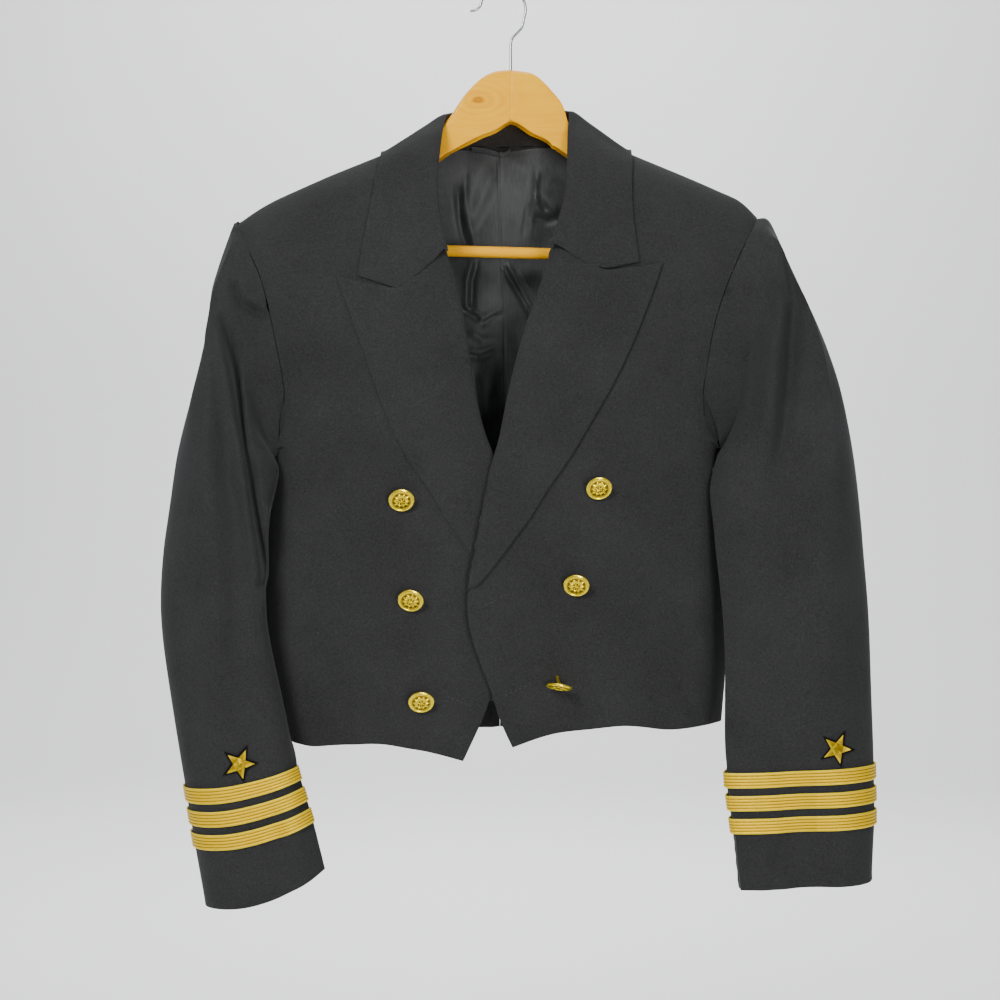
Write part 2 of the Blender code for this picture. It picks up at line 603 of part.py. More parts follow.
def make_cloth(material):
    """Body panels and sleeves, with shared normals at their seams. It returns the grids and normals."""
    bodies = body_grids()
    normals = {}
    for name, grid in bodies.items():
        face = name.split("_")[0]
        normals[name] = grid_normals(grid, (0, -1 if face == "front" else 1, 0))
    sleeves = {side: sleeve_rings(side, bodies) for side in ("right", "left")}
    sleeve_out = {side: ring_normals(sleeves[side]) for side in ("right", "left")}
    steps = FRONT_STEPS + 1
    for side in ("right", "left"):
        front, back = normals["front_" + side], normals["back_" + side]
        shared = share_normals(front[0, :steps], back[0, :steps])
        front[0, :steps], back[0, :steps] = shared, shared
        shared = share_normals(front[ARMHOLE_STEPS:, 0], back[ARMHOLE_STEPS:, 0])
        front[ARMHOLE_STEPS:, 0], back[ARMHOLE_STEPS:, 0] = shared, shared
        ring = sleeve_out[side][0]
        around = [front[i, 0] for i in range(ARMHOLE_STEPS)] + [back[i, 0] for i in range(ARMHOLE_STEPS, 0, -1)]
        shared = share_normals(ring, np.array(around))
        sleeve_out[side][0] = shared
        for i in range(ARMHOLE_STEPS):
            front[i, 0] = shared[i]
        for i in range(1, ARMHOLE_STEPS):
            back[i, 0] = shared[2 * ARMHOLE_STEPS - i]
        back[0, 0] = shared[0]
        front[ARMHOLE_STEPS, 0] = shared[ARMHOLE_STEPS]
        back[ARMHOLE_STEPS, 0] = shared[ARMHOLE_STEPS]
    shared = share_normals(normals["back_right"][:, -1], normals["back_left"][:, -1])
    normals["back_right"][:, -1], normals["back_left"][:, -1] = shared, shared

    for side in ("right", "left"):
        wall("front_" + side, bodies["front_" + side], normals["front_" + side], WOOL, material, ("top", "first"))
        wall("back_" + side, bodies["back_" + side], normals["back_" + side], WOOL, material, ("top", "first", "last"))
        rings, out = sleeves[side], sleeve_out[side]
        count = rings.shape[1]
        top = [i % count for i in range(BACK_SEAM, count + FRONT_SEAM + 1)]
        under = list(range(FRONT_SEAM, BACK_SEAM + 1))
        for name, places in (("sleeve_top_", top), ("sleeve_under_", under)):
            wall(name + side, rings[:, places], out[:, places], WOOL, material, ("top", "first", "last"))
    return bodies, normals, sleeves, sleeve_out


def make_lapel(side, bodies, material):
    """A lapel that starts inside the front, wraps round its roll line and lies on it out to its edge."""
    sign = SIGN[side]
    roll = np.array([(x, z) for x, z in outline(side, FRONT_EDGE[side])])
    start = LAPEL_TOP[side][0][1] * MM
    end = LAPEL_BREAK[side] * MM
    roll = roll[(roll[:, 1] <= start) & (roll[:, 1] >= end)]
    inner = spaced(roll, LAPEL_ROWS)
    outer = spaced(outline(side, LAPEL_OUTER[side]), LAPEL_ROWS)
    corners = [(sign * x * MM, z * MM) for x, z in LAPEL_TOP[side]]
    top = np.concatenate([spaced(corners[:2], LAPEL_COLUMNS // 2), spaced(corners[1:], LAPEL_COLUMNS // 2)[1:]])
    off = REST + WOOL
    grid = []
    for i in range(LAPEL_ROWS + 1):
        share = i / LAPEL_ROWS
        fade = (1 - share) ** 3
        x, z = inner[i]
        face = body_depth(side, "front", x + sign * 0.004, z)
        middle = face + WOOL / 2
        row = []
        for turn, reach in ((270, 0.0045), (270, 0), (0, 0), (90, 0)):
            bend = math.radians(turn)
            nose = ROLL * math.cos(bend) if turn == 0 else 0
            row.append((x + sign * reach - sign * (nose + 0.0004), middle - ROLL * math.sin(bend), z))
        for j in range(1, LAPEL_COLUMNS + 1):
            u = j / LAPEL_COLUMNS
            flat = (1 - u) * inner[i] + u * outer[i]
            bent = top[j] - ((1 - u) * inner[0] + u * outer[0])
            flat = flat + fade * bent
            swell = 0.0016 * math.sin(math.pi * u) * (1 - share * share)
            row.append(tuple(on_body(side, "front", flat[0], flat[1], off + swell)))
        grid.append(row)
    grid = np.array(grid)
    normals = grid_normals(grid, (0, -1, 0))
    return wall("lapel_" + side, grid, normals, WOOL, material)


def collar_half(side, bodies, normals):
    """Half the collar's middle surface, from the gorge to the centre back: columns of points from the stand's foot
    up over the roll and down the fall."""
    front, back = bodies["front_" + side], bodies["back_" + side]
    table = rows_of(COLLAR_COLUMNS, COLLAR[side])
    gorge_z = table[0]["roll_z"] * MM
    edge = [p for p in front[:, -1] if p[2] > gorge_z]
    edge_out = [front[i, -1] - front[i, -2] for i in range(len(edge))]
    edge_normal = [normals["front_" + side][i, -1] for i in range(len(edge))]
    foot_front = np.array(edge[::-1])
    away_front = np.array(edge_out[::-1])
    normal_front = np.array(edge_normal[::-1])
    neck = slice(FRONT_STEPS, None)
    foot_back = back[0, neck]
    away_back = (back[0] - back[1])[neck]
    normal_back = normals["back_" + side][0, neck]

    def sample(values, share):
        place = share * (len(values) - 1)
        low = min(int(place), len(values) - 2)
        return values[low] + (place - low) * (values[low + 1] - values[low])

    keys = [row["station"] for row in table]

    def column(name, station):
        return float(np.interp(station, keys, [row[name] * MM for row in table]))

    columns = []
    clear = SEAM + WOOL / 2 + 0.0004
    neck_x = abs(foot_back[0][0]) + 0.003
    corners = [np.array((SIGN[side] * x * MM, z * MM)) for x, z in GORGE[side]]
    gorge = np.concatenate([spaced(corners[:2], 3), spaced(corners[1:], 2)[1:]])
    for station in COLLAR_STATIONS:
        if station <= 1:
            foot, away, out = (sample(v, station) for v in (foot_front, away_front, normal_front))
        else:
            foot, away, out = (sample(v, station - 1) for v in (foot_back, away_back, normal_back))
        away = away / np.linalg.norm(away)
        out = out / np.linalg.norm(out)
        foot = foot - WOOL / 2 * out + (SEAM + 0.00025 + 0.0006 * ease(1, 0.8, station)) * away
        roll = np.array((SIGN[side] * column("roll_x", station), column("roll_y", station), column("roll_z", station)))
        face = "front" if station <= 1 else "back"
        edge_x = SIGN[side] * column("edge_x", station)
        fall = on_body(side, face, edge_x, column("edge_z", station), clear)
        outward = fall - roll
        outward /= np.linalg.norm(outward)
        rise = foot - roll
        height = np.linalg.norm(rise)
        rise /= height
        spread = out * STAND_SPREAD
        inside = roll + rise * min(0.005, 0.4 * height) - 0.5 * spread
        outside = roll + 0.5 * rise * 0.006 + 1.2 * spread + 0.002 * outward
        line = [foot, 0.5 * (foot + inside), inside, roll + 0.2 * spread, outside]
        fade = max(0.0, 1 - station / 0.7) ** 2
        for j in range(1, 6):
            u = j / 5
            point = (1 - u) * outside + u * fall
            bend = gorge[j] - ((1 - u) * gorge[0] + u * gorge[-1])
            point = point + fade * np.array((bend[0], 0, bend[1]))
            if abs(point[0]) > neck_x or station < 0.97 or station > 1.1:
                point = cleared(side, point, clear)
            line.append(point)
        columns.append(line)
    columns = np.array(columns)
    # The straight stretches between the columns must clear the shoulder's ridge as well.
    for _ in range(4):
        for i in range(len(columns) - 1):
            for j in range(6, columns.shape[1]):
                middle = (columns[i, j] + columns[i + 1, j]) / 2
                if abs(middle[0]) > neck_x:
                    columns[i : i + 2, j] += cleared(side, middle, clear) - middle
    return columns


def make_collar(bodies, normals, material):
    right = collar_half("right", bodies, normals)
    left = collar_half("left", bodies, normals)
    middle = (right[-1] + left[-1]) / 2
    grid = np.concatenate([right[:-1], middle[None], left[-2::-1]])
    out = grid_normals(grid, (0, 1, 0))
    # The grid is the middle surface, so the wall's outer side lies half its thickness out.
    check = out[len(grid) // 2, -1]
    if check[1] < 0:
        out = -out
    return wall("collar", grid + WOOL / 2 * out, out, WOOL, material)


def make_lining(bodies, normals, material):
    """The back lining, inside both back panels, on every other one of their points."""
    halves = {}
    for side in ("right", "left"):
        off = np.full((bodies["back_" + side].shape[0], 1, 1), WOOL + REST + LINING_EASE)
        off[:3] = WOOL + REST + 0.0004
        inside = bodies["back_" + side] - off * normals["back_" + side]
        # Below the neck the lining's top edge reaches up to the collar.
        reach = np.interp(np.arange(inside.shape[1]), (FRONT_STEPS, FRONT_STEPS + 1), (0.3, 0.85))
        inside[1] += reach[:, None] * (np.arange(len(reach)) >= FRONT_STEPS)[:, None] * (inside[0] - inside[1])
        rows = list(range(1, inside.shape[0] - 1, 2))
        columns = list(range(2, inside.shape[1], 2))
        if columns[-1] != inside.shape[1] - 1:
            columns.append(inside.shape[1] - 1)
        halves[side] = (inside[np.ix_(rows, columns)], normals["back_" + side][np.ix_(rows, columns)])
    grid = np.concatenate([halves["right"][0][:, :-1], halves["left"][0][:, ::-1]], axis=1)
    out = np.concatenate([halves["right"][1][:, :-1], halves["left"][1][:, ::-1]], axis=1)
    return wall("back_lining", grid, out, SATIN, material)


def sleeve_at(rings, normals, place, around):
    """A point and a normal on a sleeve's facets, at a place along it in table rings and a place round it."""
    index = float(np.interp(place, SLEEVE_RINGS, range(len(SLEEVE_RINGS))))
    low = min(int(index), len(SLEEVE_RINGS) - 2)
    count = rings.shape[1]
    first = int(math.floor(around))
    v, u = index - low, around - first
    a, b = first % count, (first + 1) % count
    found = []
    for field in (rings, normals):
        upper = (1 - u) * field[low, a] + u * field[low, b]
        lower = (1 - u) * field[low + 1, a] + u * field[low + 1, b]
        found.append((1 - v) * upper + v * lower)
    return found[0], found[1] / np.linalg.norm(found[1])


def make_stripes(sleeves, sleeve_out, material):
    """Three rows of lace round each cuff, on the cuff's own points."""
    for side in ("right", "left"):
        for number in range(STRIPES):
            upper = SLEEVE_RINGS.index(STRIPE_EDGES[2 * number])
            out = sleeve_out[side][upper : upper + 2]
            grid = sleeves[side][upper : upper + 2] + (REST + LACE) * out
            wall(f"stripe_{side}_{number + 1}", grid, out, LACE, material, closed=True)


def star_outline(radius, waist, turn):
    """Ten corners of a star, as (across, down), one point down."""
    corners = []
    for i in range(10):
        angle = math.radians(turn + 36 * i)
        reach = radius if i % 2 == 0 else radius * waist
        corners.append((reach * math.sin(angle), reach * math.cos(angle)))
    return corners


def make_star(side, sleeves, sleeve_out, gold, wool):
    """A faceted star and its backing, laid on the sleeve above the lace."""
    rings, out = sleeves[side], sleeve_out[side]
    place, around, turn = STAR_PLACE[side]
    step = 0.05
    wide = np.linalg.norm(
        sleeve_at(rings, out, place, around + step)[0] - sleeve_at(rings, out, place, around - step)[0]
    ) / (2 * step)
    line = np.array([sleeve_at(rings, out, ring, around)[0] for ring in SLEEVE_RINGS])
    down = np.concatenate([[0], np.cumsum(np.linalg.norm(np.diff(line, axis=0), axis=1))])
    middle = np.interp(place, SLEEVE_RINGS, down)

    def laid(corner, off):
        ring = np.interp(middle + corner[1], down, SLEEVE_RINGS)
        point, normal = sleeve_at(rings, out, ring, around + corner[0] / wide)
        return point + off * normal

    def piece(name, radius, base, rim, apex, material):
        corners = star_outline(radius, STAR_WAIST, turn)
        points = [laid(c, base) for c in corners] + [laid(c, rim) for c in corners]
        points += [laid((0, 0), base), laid((0, 0), apex)]
        faces = []
        for i in range(10):
            following = (i + 1) % 10
            faces.append((i, following, 10 + following, 10 + i))
            faces.append((20, following, i))
            faces.append((21, 10 + i, 10 + following))
        add_mesh(name, points, faces, material)

    clear = REST + 0.0006
    piece("star_backing_" + side, STAR_RADIUS + STAR_BACKING, clear, clear + 0.0008, clear + 0.0008, wool)
    lift = clear + 0.0008 + SEAM
    piece("star_" + side, STAR_RADIUS, lift, lift + 0.0006, lift + STAR_HEIGHT, gold)


def make_button(name, side, row, material):
    """A domed button on its shank. It hangs tilted down from its thread."""
    x, z = SIGN[side] * row["x"] * MM, row["z"] * MM
    cloth = on_body(side, "front", x, z, 0.0005)
    normal = body_normal(side, "front", x, z)
    tilt = math.radians(row["tilt"])
    roll = math.radians(row["roll"])
    axis = np.array((math.sin(roll), -math.cos(tilt), -math.sin(tilt)))
    axis /= np.linalg.norm(axis)
    plate = BUTTON_PROFILE[1][1] * MM
    reach = row["shank"] * MM
    if row["tilt"] < 60:
        centre = cloth + axis * (reach - 0.3 * MM)
    else:
        centre = cloth + normal * reach - np.array((0, 0, 0.006))
    across = np.cross(axis, (0, 0, 1))
    across /= np.linalg.norm(across)
    other = np.cross(axis, across)
    points, faces = [], []
    for radius, height in BUTTON_PROFILE[:-1]:
        along = height * MM - plate
        if along < 0:
            # The shank leans from the plate to its place on the cloth.
            first = np.cross(normal, (0, 0, 1)) / np.linalg.norm(np.cross(normal, (0, 0, 1)))
            middle, second = cloth, np.cross(normal, first)
        else:
            middle, first, second = centre + along * axis, across, other
        for i in range(BUTTON_SIDES):
            turn = 2 * math.pi * i / BUTTON_SIDES
            points.append(middle + radius * MM * (math.cos(turn) * first + math.sin(turn) * second))
    points.append(centre + (BUTTON_PROFILE[-1][1] * MM - plate) * axis)
    rings = len(BUTTON_PROFILE) - 1
    for k in range(rings - 1):
        low, high = k * BUTTON_SIDES, (k + 1) * BUTTON_SIDES
        for i in range(BUTTON_SIDES):
            j = (i + 1) % BUTTON_SIDES
            faces.append((low + i, low + j, high + j, high + i))
    last = (rings - 1) * BUTTON_SIDES
    for i in range(BUTTON_SIDES):
        faces.append((last + i, last + (i + 1) % BUTTON_SIDES, len(points) - 1))
    faces.append(tuple(range(BUTTON_SIDES)))
    return add_mesh(name, points, faces, material)


def make_hanger_loop(material):
    """The hanging tape inside the back neck: a thin strip that sags a little from its two ends."""
    ends = (-0.027, 0.010)
    rows = []
    for x in np.linspace(*ends, 9):
        share = (x - ends[0]) / (ends[1] - ends[0])
        z = -0.1350 - 0.0014 * share - 0.0038 * math.sin(math.pi * share**2.4)
        side = "right" if x < 0 else "left"
        off = WOOL + REST + SATIN + 0.0022
        top = on_body(side, "back", x, z + 0.002, -off)
        foot = on_body(side, "back", x, z - 0.002, -off)
        rows.append((top, foot))
    grid = np.array(rows)
    normals = grid_normals(grid, (0, 1, 0))
    return wall("hanger_loop", grid, normals, SATIN, material)


def make_arm(side, material):
    """One arm of the hanger: a rounded bar lofted from the middle joint to the shoulder's tip."""
    sign = SIGN[side]
    points, faces = [], []
    rows = rows_of(ARM_COLUMNS, ARMS[side])
    arch = [math.radians(degrees) for degrees in (180, 144, 108, 72, 36, 0)]
    for row in rows:
        half, top, bottom = row["half"] * MM, row["top"] * MM, row["bottom"] * MM
        section = [(half * math.cos(turn), top - half * (1 - math.sin(turn))) for turn in arch]
        section += [(half, bottom + 0.3 * half), (0.7 * half, bottom), (-0.7 * half, bottom), (-half, bottom + 0.3 * half)]
        points += [(sign * row["x"] * MM, y, z) for y, z in section]
    count = len(section)
    for k in range(len(rows) - 1):
        for i in range(count):
            j = (i + 1) % count
            faces.append((k * count + i, k * count + j, (k + 1) * count + j, (k + 1) * count + i))
    faces.append(tuple(range(count)))
    faces.append(tuple(range((len(rows) - 1) * count, len(rows) * count)))
    return add_mesh("hanger_arm_" + side, points, faces, material)


def make_bar(material):
    bpy.ops.mesh.primitive_cylinder_add(vertices=16, radius=BAR_RADIUS, depth=2 * BAR_HALF / math.cos(math.atan(BAR_SLOPE)))
    bar = bpy.context.object
    bar.name = "hanger_bar"
    bar.data.name = "hanger_bar"
    bar.location = (0, 0, BAR_Z)
    bar.rotation_euler = (0, math.radians(90) - math.atan(BAR_SLOPE), 0)
    bar.data.materials.append(material)
    bpy.data.collections["mess_jacket"].objects.link(bar)
    for collection in list(bar.users_collection):
        if collection.name != "mess_jacket":
            collection.objects.unlink(bar)
    bar.data.shade_smooth()
    bar.data.set_sharp_from_angle(angle=math.radians(40))
    return bar


def make_hook(material):
    """The wire hook: a straight stem, a bend to the side and a loop open on the other side."""
    stem_x = HANGER_MIDDLE - 0.2 * MM
    route = [(stem_x, -0.0727), (stem_x, -0.060), (stem_x, -0.0503), (0.0107, -0.0450), (0.0150, -0.0400), (0.0195, -0.0345)]
    for degrees in range(-20, 171, 19):
        angle = math.radians(degrees)
        route.append((LOOP_MIDDLE[0] + LOOP_RADIUS * math.cos(angle), LOOP_MIDDLE[1] + LOOP_RADIUS * math.sin(angle)))
    route += [(-0.0205, -0.0188), (-0.0267, -0.0205)]
    smooth = spaced(smooth_through(route), 44)
    curve = bpy.data.curves.new("hanger_hook", "CURVE")
    curve.dimensions = "3D"
    curve.bevel_depth = WIRE_RADIUS
    curve.bevel_resolution = 1
    curve.use_fill_caps = True
    spline = curve.splines.new("POLY")
    spline.points.add(len(smooth) - 1)
    for point, (x, z) in zip(spline.points, smooth):
        point.co = (x, 0, z, 1)
    hook = bpy.data.objects.new("hanger_hook", curve)
    curve.materials.append(material)
    bpy.data.collections["mess_jacket"].objects.link(hook)
    return hook


def main():
    for thing in list(bpy.data.objects):
        bpy.data.objects.remove(thing, do_unlink=True)
    collection = bpy.data.collections.new("mess_jacket")
    bpy.context.scene.collection.children.link(collection)
    wool = make_material("black_wool", (0.018, 0.018, 0.020), 0.85)
    satin = make_material("black_satin", (0.020, 0.023, 0.022), 0.35)
    lace = make_material("gold_lace", (0.80, 0.56, 0.12), 0.45, 0.6)
    gilt = make_material("gilt_brass", (0.83, 0.62, 0.22), 0.25, 1.0)
    wood = make_material("varnished_wood", (0.80, 0.47, 0.14), 0.30)
    steel = make_material("chromed_wire", (0.75, 0.76, 0.78), 0.15, 1.0)

    bodies, normals, sleeves, sleeve_out = make_cloth(wool)
    for side in ("right", "left"):
        make_lapel(side, bodies, wool)
        make_star(side, sleeves, sleeve_out, lace, wool)
        make_arm(side, wood)
    make_collar(bodies, normals, wool)
    make_lining(bodies, normals, satin)
    make_stripes(sleeves, sleeve_out, lace)
    for side in ("right", "left"):
        rows = [row for row in rows_of(BUTTON_COLUMNS, BUTTONS) if row["side"] == side]
        for number, row in enumerate(rows, 1):
            make_button(f"button_{side}_{number}", side, row, gilt)
    make_hanger_loop(satin)
    make_bar(wood)
    make_hook(steel)


main()
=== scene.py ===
# A black mess jacket with gilt buttons and gold cuff lace, hanging open on a wooden hanger
import math

import bmesh
import bpy
import numpy as np
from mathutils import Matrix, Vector, noise
from mathutils.bvhtree import BVHTree
from mathutils.kdtree import KDTree

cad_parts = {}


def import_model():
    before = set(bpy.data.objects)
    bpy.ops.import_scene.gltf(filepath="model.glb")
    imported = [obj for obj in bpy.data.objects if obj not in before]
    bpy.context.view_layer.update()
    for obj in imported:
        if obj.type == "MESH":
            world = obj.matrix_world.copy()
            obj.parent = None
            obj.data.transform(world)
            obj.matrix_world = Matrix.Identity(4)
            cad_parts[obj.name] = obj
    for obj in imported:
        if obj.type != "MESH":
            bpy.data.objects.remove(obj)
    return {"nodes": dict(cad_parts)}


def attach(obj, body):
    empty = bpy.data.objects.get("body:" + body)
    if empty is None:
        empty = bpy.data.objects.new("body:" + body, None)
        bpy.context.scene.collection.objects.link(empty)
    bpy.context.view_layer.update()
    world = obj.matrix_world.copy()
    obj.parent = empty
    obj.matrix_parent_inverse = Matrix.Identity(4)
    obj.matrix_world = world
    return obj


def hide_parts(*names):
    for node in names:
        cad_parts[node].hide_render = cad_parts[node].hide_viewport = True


mm = 0.001
nodes = {}
pieces = {}


class Link:
    # one output of a shader node, so that its sums read as plain arithmetic
    def __init__(self, tree, socket):
        self.tree = tree
        self.socket = socket

    def make(self, kind, settings=None, values=None, out=0):
        node = self.tree.nodes.new("ShaderNode" + kind)
        for name, value in (settings or {}).items():
            if name == "stops":
                ramp = node.color_ramp
                while len(ramp.elements) < len(value):
                    ramp.elements.new(0.5)
                for element, (place, colour) in zip(ramp.elements, value):
                    element.position = place
                    element.color = colour if hasattr(colour, "__len__") else (colour, colour, colour, 1)
            else:
                setattr(node, name, value)
        for name, value in (values or {}).items():
            if isinstance(value, Link):
                self.tree.links.new(value.socket, node.inputs[name])
            else:
                node.inputs[name].default_value = value
        return Link(self.tree, node.outputs[out])

    def sum(self, operation, first, second=0.0):
        return self.make("Math", {"operation": operation}, {0: first, 1: second})

    def __add__(self, other):
        return self.sum("ADD", self, other)

    __radd__ = __add__

    def __sub__(self, other):
        return self.sum("SUBTRACT", self, other)

    def __rsub__(self, other):
        return self.sum("SUBTRACT", other, self)

    def __mul__(self, other):
        return self.sum("MULTIPLY", self, other)

    __rmul__ = __mul__

    def __truediv__(self, other):
        return self.sum("DIVIDE", self, other)

    def __pow__(self, other):
        return self.sum("POWER", self, other)

    def __abs__(self):
        return self.sum("ABSOLUTE", self)

    def sine(self):
        return self.sum("SINE", self)

    def clip(self, low, high):
        return self.make("MapRange", {"clamp": True}, {"Value": self, "From Min": low, "From Max": high})

    def tint(self, dark, light):
        # a colour between two, by this value
        return self.make("Mix", {"data_type": "RGBA"}, {0: self, 6: (*dark, 1), 7: (*light, 1)}, out=2)

    def blend(self, first, second):
        return self.make("Mix", {"data_type": "RGBA"}, {0: self, 6: first, 7: second}, out=2)

    def stretched(self, scale, turn=(0, 0, 0), move=(0, 0, 0)):
        return self.make("Mapping", None, {"Vector": self, "Scale": scale, "Rotation": turn, "Location": move})

    def cloud(self, scale, detail=2.0, rough=0.5, twist=0.0):
        values = {"Vector": self, "Scale": scale, "Detail": detail, "Roughness": rough, "Distortion": twist}
        return self.make("TexNoise", None, values)

    def split(self):
        node = self.make("SeparateXYZ", None, {0: self}).socket.node
        return [Link(self.tree, output) for output in node.outputs]

    def bumped(self, strength, distance):
        return self.make("Bump", None, {"Height": self, "Strength": strength, "Distance": distance})


def startMaterial(name, fixed, coords="Object"):
    # a material with its fixed numbers set; gives it, its shader and its coordinates
    material = bpy.data.materials.new(name)
    material.use_nodes = True
    tree = material.node_tree
    shader = tree.nodes["Principled BSDF"]
    for socket, value in fixed.items():
        shader.inputs[socket].default_value = value
    where = Link(tree, tree.nodes.new("ShaderNodeTexCoord").outputs[coords])
    return material, shader, where


def plug(shader, **links):
    # joins links to the shader's sockets; an underscore stands for a space
    for name, link in links.items():
        link.tree.links.new(link.socket, shader.inputs[name.replace("_", " ")])


woolLook = {
    "dark": (0.0085, 0.0087, 0.0090), "light": (0.036, 0.0365, 0.037), "fleck": (0.14, 0.141, 0.142),
    "fixed": {
        "Roughness": 0.9, "Sheen Weight": 0.06, "Sheen Roughness": 0.5, "Sheen Tint": (0.9, 0.92, 0.95, 1),
        "Specular IOR Level": 0.2,
    },
}


def makeWool():
    material, shader, place = startMaterial("blackWool", woolLook["fixed"])
    x, _, z = place.split()
    broad = place.cloud(14, 3, 0.6)
    grain = place.cloud(620, 2, 0.7)
    twill = ((x + z * 0.8) * 5200 + place.cloud(190, 1) * 5).sine() * 0.5 + 0.5
    shade = (grain * 0.75 + broad * 0.35 + twill * 0.12 - 0.2).clip(0.12, 0.78)
    flecks = place.cloud(1150, 1, 0.4).clip(0.71, 0.80) * 0.55
    cloth = shade.tint(woolLook["dark"], woolLook["light"])
    colour = flecks.blend(cloth, flecks.tint(woolLook["light"], woolLook["fleck"]))
    plug(shader, Base_Color=colour, Roughness=0.86 + grain * 0.1)
    plug(shader, Normal=(grain * 0.7 + twill * 0.3 + place.cloud(75, 2) * 0.5).bumped(0.55, 0.0006))
    return material


feltLook = {"dark": (0.001, 0.001, 0.0011), "light": (0.005, 0.005, 0.0055)}


def makeFelt():
    # the smooth black cloth under a star
    material, shader, place = startMaterial("blackFelt", {"Specular IOR Level": 0.12})
    soft = place.cloud(700, 2)
    plug(shader, Base_Color=soft.tint(feltLook["dark"], feltLook["light"]), Roughness=0.6 + soft * 0.3)
    plug(shader, Normal=soft.bumped(0.3, 0.0002))
    return material


satinLook = {
    "dark": (0.016, 0.0175, 0.0175), "light": (0.050, 0.054, 0.054),
    "fixed": {
        "Sheen Weight": 0.10, "Sheen Roughness": 0.4, "Sheen Tint": (0.85, 0.92, 0.90, 1),
        "Specular IOR Level": 0.24,
    },
}


def makeSatin():
    material, shader, place = startMaterial("blackSatin", satinLook["fixed"])
    soft = place.cloud(38, 3, 0.55, 0.3)
    thread = place.stretched((1, 1, 0.06)).cloud(900, 1)
    tone = (soft * 0.7 + thread * 0.3).clip(0.3, 0.72)
    plug(shader, Base_Color=tone.tint(satinLook["dark"], satinLook["light"]))
    plug(shader, Roughness=0.40 + soft * 0.14)
    plug(shader, Normal=(place.cloud(46, 2, 0.5, 0.6) + thread * 0.05).bumped(0.14, 0.0020))
    return material


laceLook = {
    "deep": (0.12, 0.06, 0.0), "shade": (0.42, 0.23, 0.0), "gold": (1.0, 0.66, 0.0), "bright": (1.0, 0.84, 0.03),
    "ribs": 5,
}


def makeLace():
    material, shader, place = startMaterial("goldLace", {"Metallic": 0.45, "Specular IOR Level": 0.15}, "UV")
    along, across, _ = place.split()
    rib = abs((across * math.pi * laceLook["ribs"]).sine())
    twist = ((along * 5200) + across * 26).sine() * 0.5 + 0.5
    gaps = (place.stretched((150, 5, 1)).cloud(4, 3, 0.6)).clip(0.40, 0.62)
    edge = abs(across * 2 - 1).clip(0.86, 0.97)
    groove = (1 - rib.clip(0.10, 0.62)) * (0.25 + gaps * 0.75) * (1 - edge)
    tone = (rib * 0.55 + twist * 0.35 + place.cloud(160, 3) * 0.7 - 0.35).clip(0.05, 0.80)
    plain = groove.blend(tone.tint(laceLook["shade"], laceLook["gold"]), (*laceLook["deep"], 1))
    border = (twist * 0.6 + 0.4).tint(laceLook["gold"], laceLook["bright"])
    plug(shader, Base_Color=edge.blend(plain, border))
    plug(shader, Roughness=0.5 - rib * 0.14)
    plug(shader, Normal=(rib * 0.4 + twist * 0.6 + gaps * 0.3).bumped(0.7, 0.0004))
    return material


starLook = {"deep": (0.22, 0.12, 0.0), "gold": (1.0, 0.72, 0.01)}


def makeStarGold():
    material, shader, place = startMaterial("starGold", {"Metallic": 0.7, "Specular IOR Level": 0.3}, "UV")
    along, across, _ = place.split()
    thread = ((along + abs(across) * 0.8) * 7800).sine() * 0.5 + 0.5
    wear = place.cloud(400, 2)
    # painted shade: the thread colour is lighter along each arm's ridge and darker towards the valleys beside it
    valleyShade = (across * 1000).clip(0.3, 3.2)
    tone = (thread * 0.45 + wear * 0.5 + (1 - valleyShade) * 0.55 - 0.15).clip(0.1, 0.95)
    plug(shader, Base_Color=tone.tint(starLook["deep"], starLook["gold"]), Roughness=0.42 - thread * 0.14)
    plug(shader, Normal=thread.bumped(0.7, 0.0004))
    return material


giltLook = {"deep": (0.16, 0.085, 0.0), "gold": (1.0, 0.76, 0.02)}


def makeGilt():
    material, shader, place = startMaterial("giltBrass", {"Metallic": 0.8, "Specular IOR Level": 0.6})
    relief = place.make("Attribute", {"attribute_name": "relief"}, out=2)
    wear = place.cloud(420, 3)
    # painted shade: the gilt colour is darker in the hollows of the relief and on the shank, and lighter on the
    # raised leaves and rope
    tone = (relief * 1.05 + wear * 0.35 - 0.15).clip(0.0, 0.85)
    plug(shader, Base_Color=tone.tint(giltLook["deep"], giltLook["gold"]), Roughness=0.40 - tone * 0.18)
    plug(shader, Normal=wear.bumped(0.2, 0.0002))
    return material


woodLook = {
    "pale": (1.0, 0.52, 0.0), "warm": (0.86, 0.36, 0.0), "streak": (0.36, 0.12, 0.0),
    "knotShift": (0.0195, 0, 0.101), "knotSize": 0.006,
}


def makeWood():
    material, shader, place = startMaterial("varnishedWood", {"Coat Weight": 0.0, "Specular IOR Level": 0.12})
    grain = place.stretched((1, 3.2, 6.5), (0, 0.12, 0)).cloud(16, 5, 0.6, 0.5)
    fine = place.stretched((1, 6, 18)).cloud(70, 3)
    x, _, z = place.stretched((1, 1, 1), (0, 0, 0), woodLook["knotShift"]).split()
    ring = ((x * x * 0.35 + z * z) ** 0.5) / woodLook["knotSize"]
    knot = 1 - ring.clip(0.25, 1.2)
    halo = (ring * 7 + grain * 5).sine() * (1 - ring.clip(1.0, 4.0)) * 0.18
    tone = (grain * 0.8 + fine * 0.3 + halo).clip(0.28, 0.82)
    plain = tone.tint(woodLook["warm"], woodLook["pale"])
    colour = knot.blend(plain, tone.tint(woodLook["streak"], woodLook["warm"]))
    plug(shader, Base_Color=colour, Roughness=0.30 + fine * 0.12)
    plug(shader, Normal=(fine * 0.4 + grain).bumped(0.12, 0.0006))
    return material


def makeChrome():
    material, shader, place = startMaterial("chromedWire", {"Metallic": 1.0, "Base Color": (0.42, 0.42, 0.43, 1)})
    plug(shader, Roughness=0.12 + place.cloud(300, 2) * 0.14)
    return material


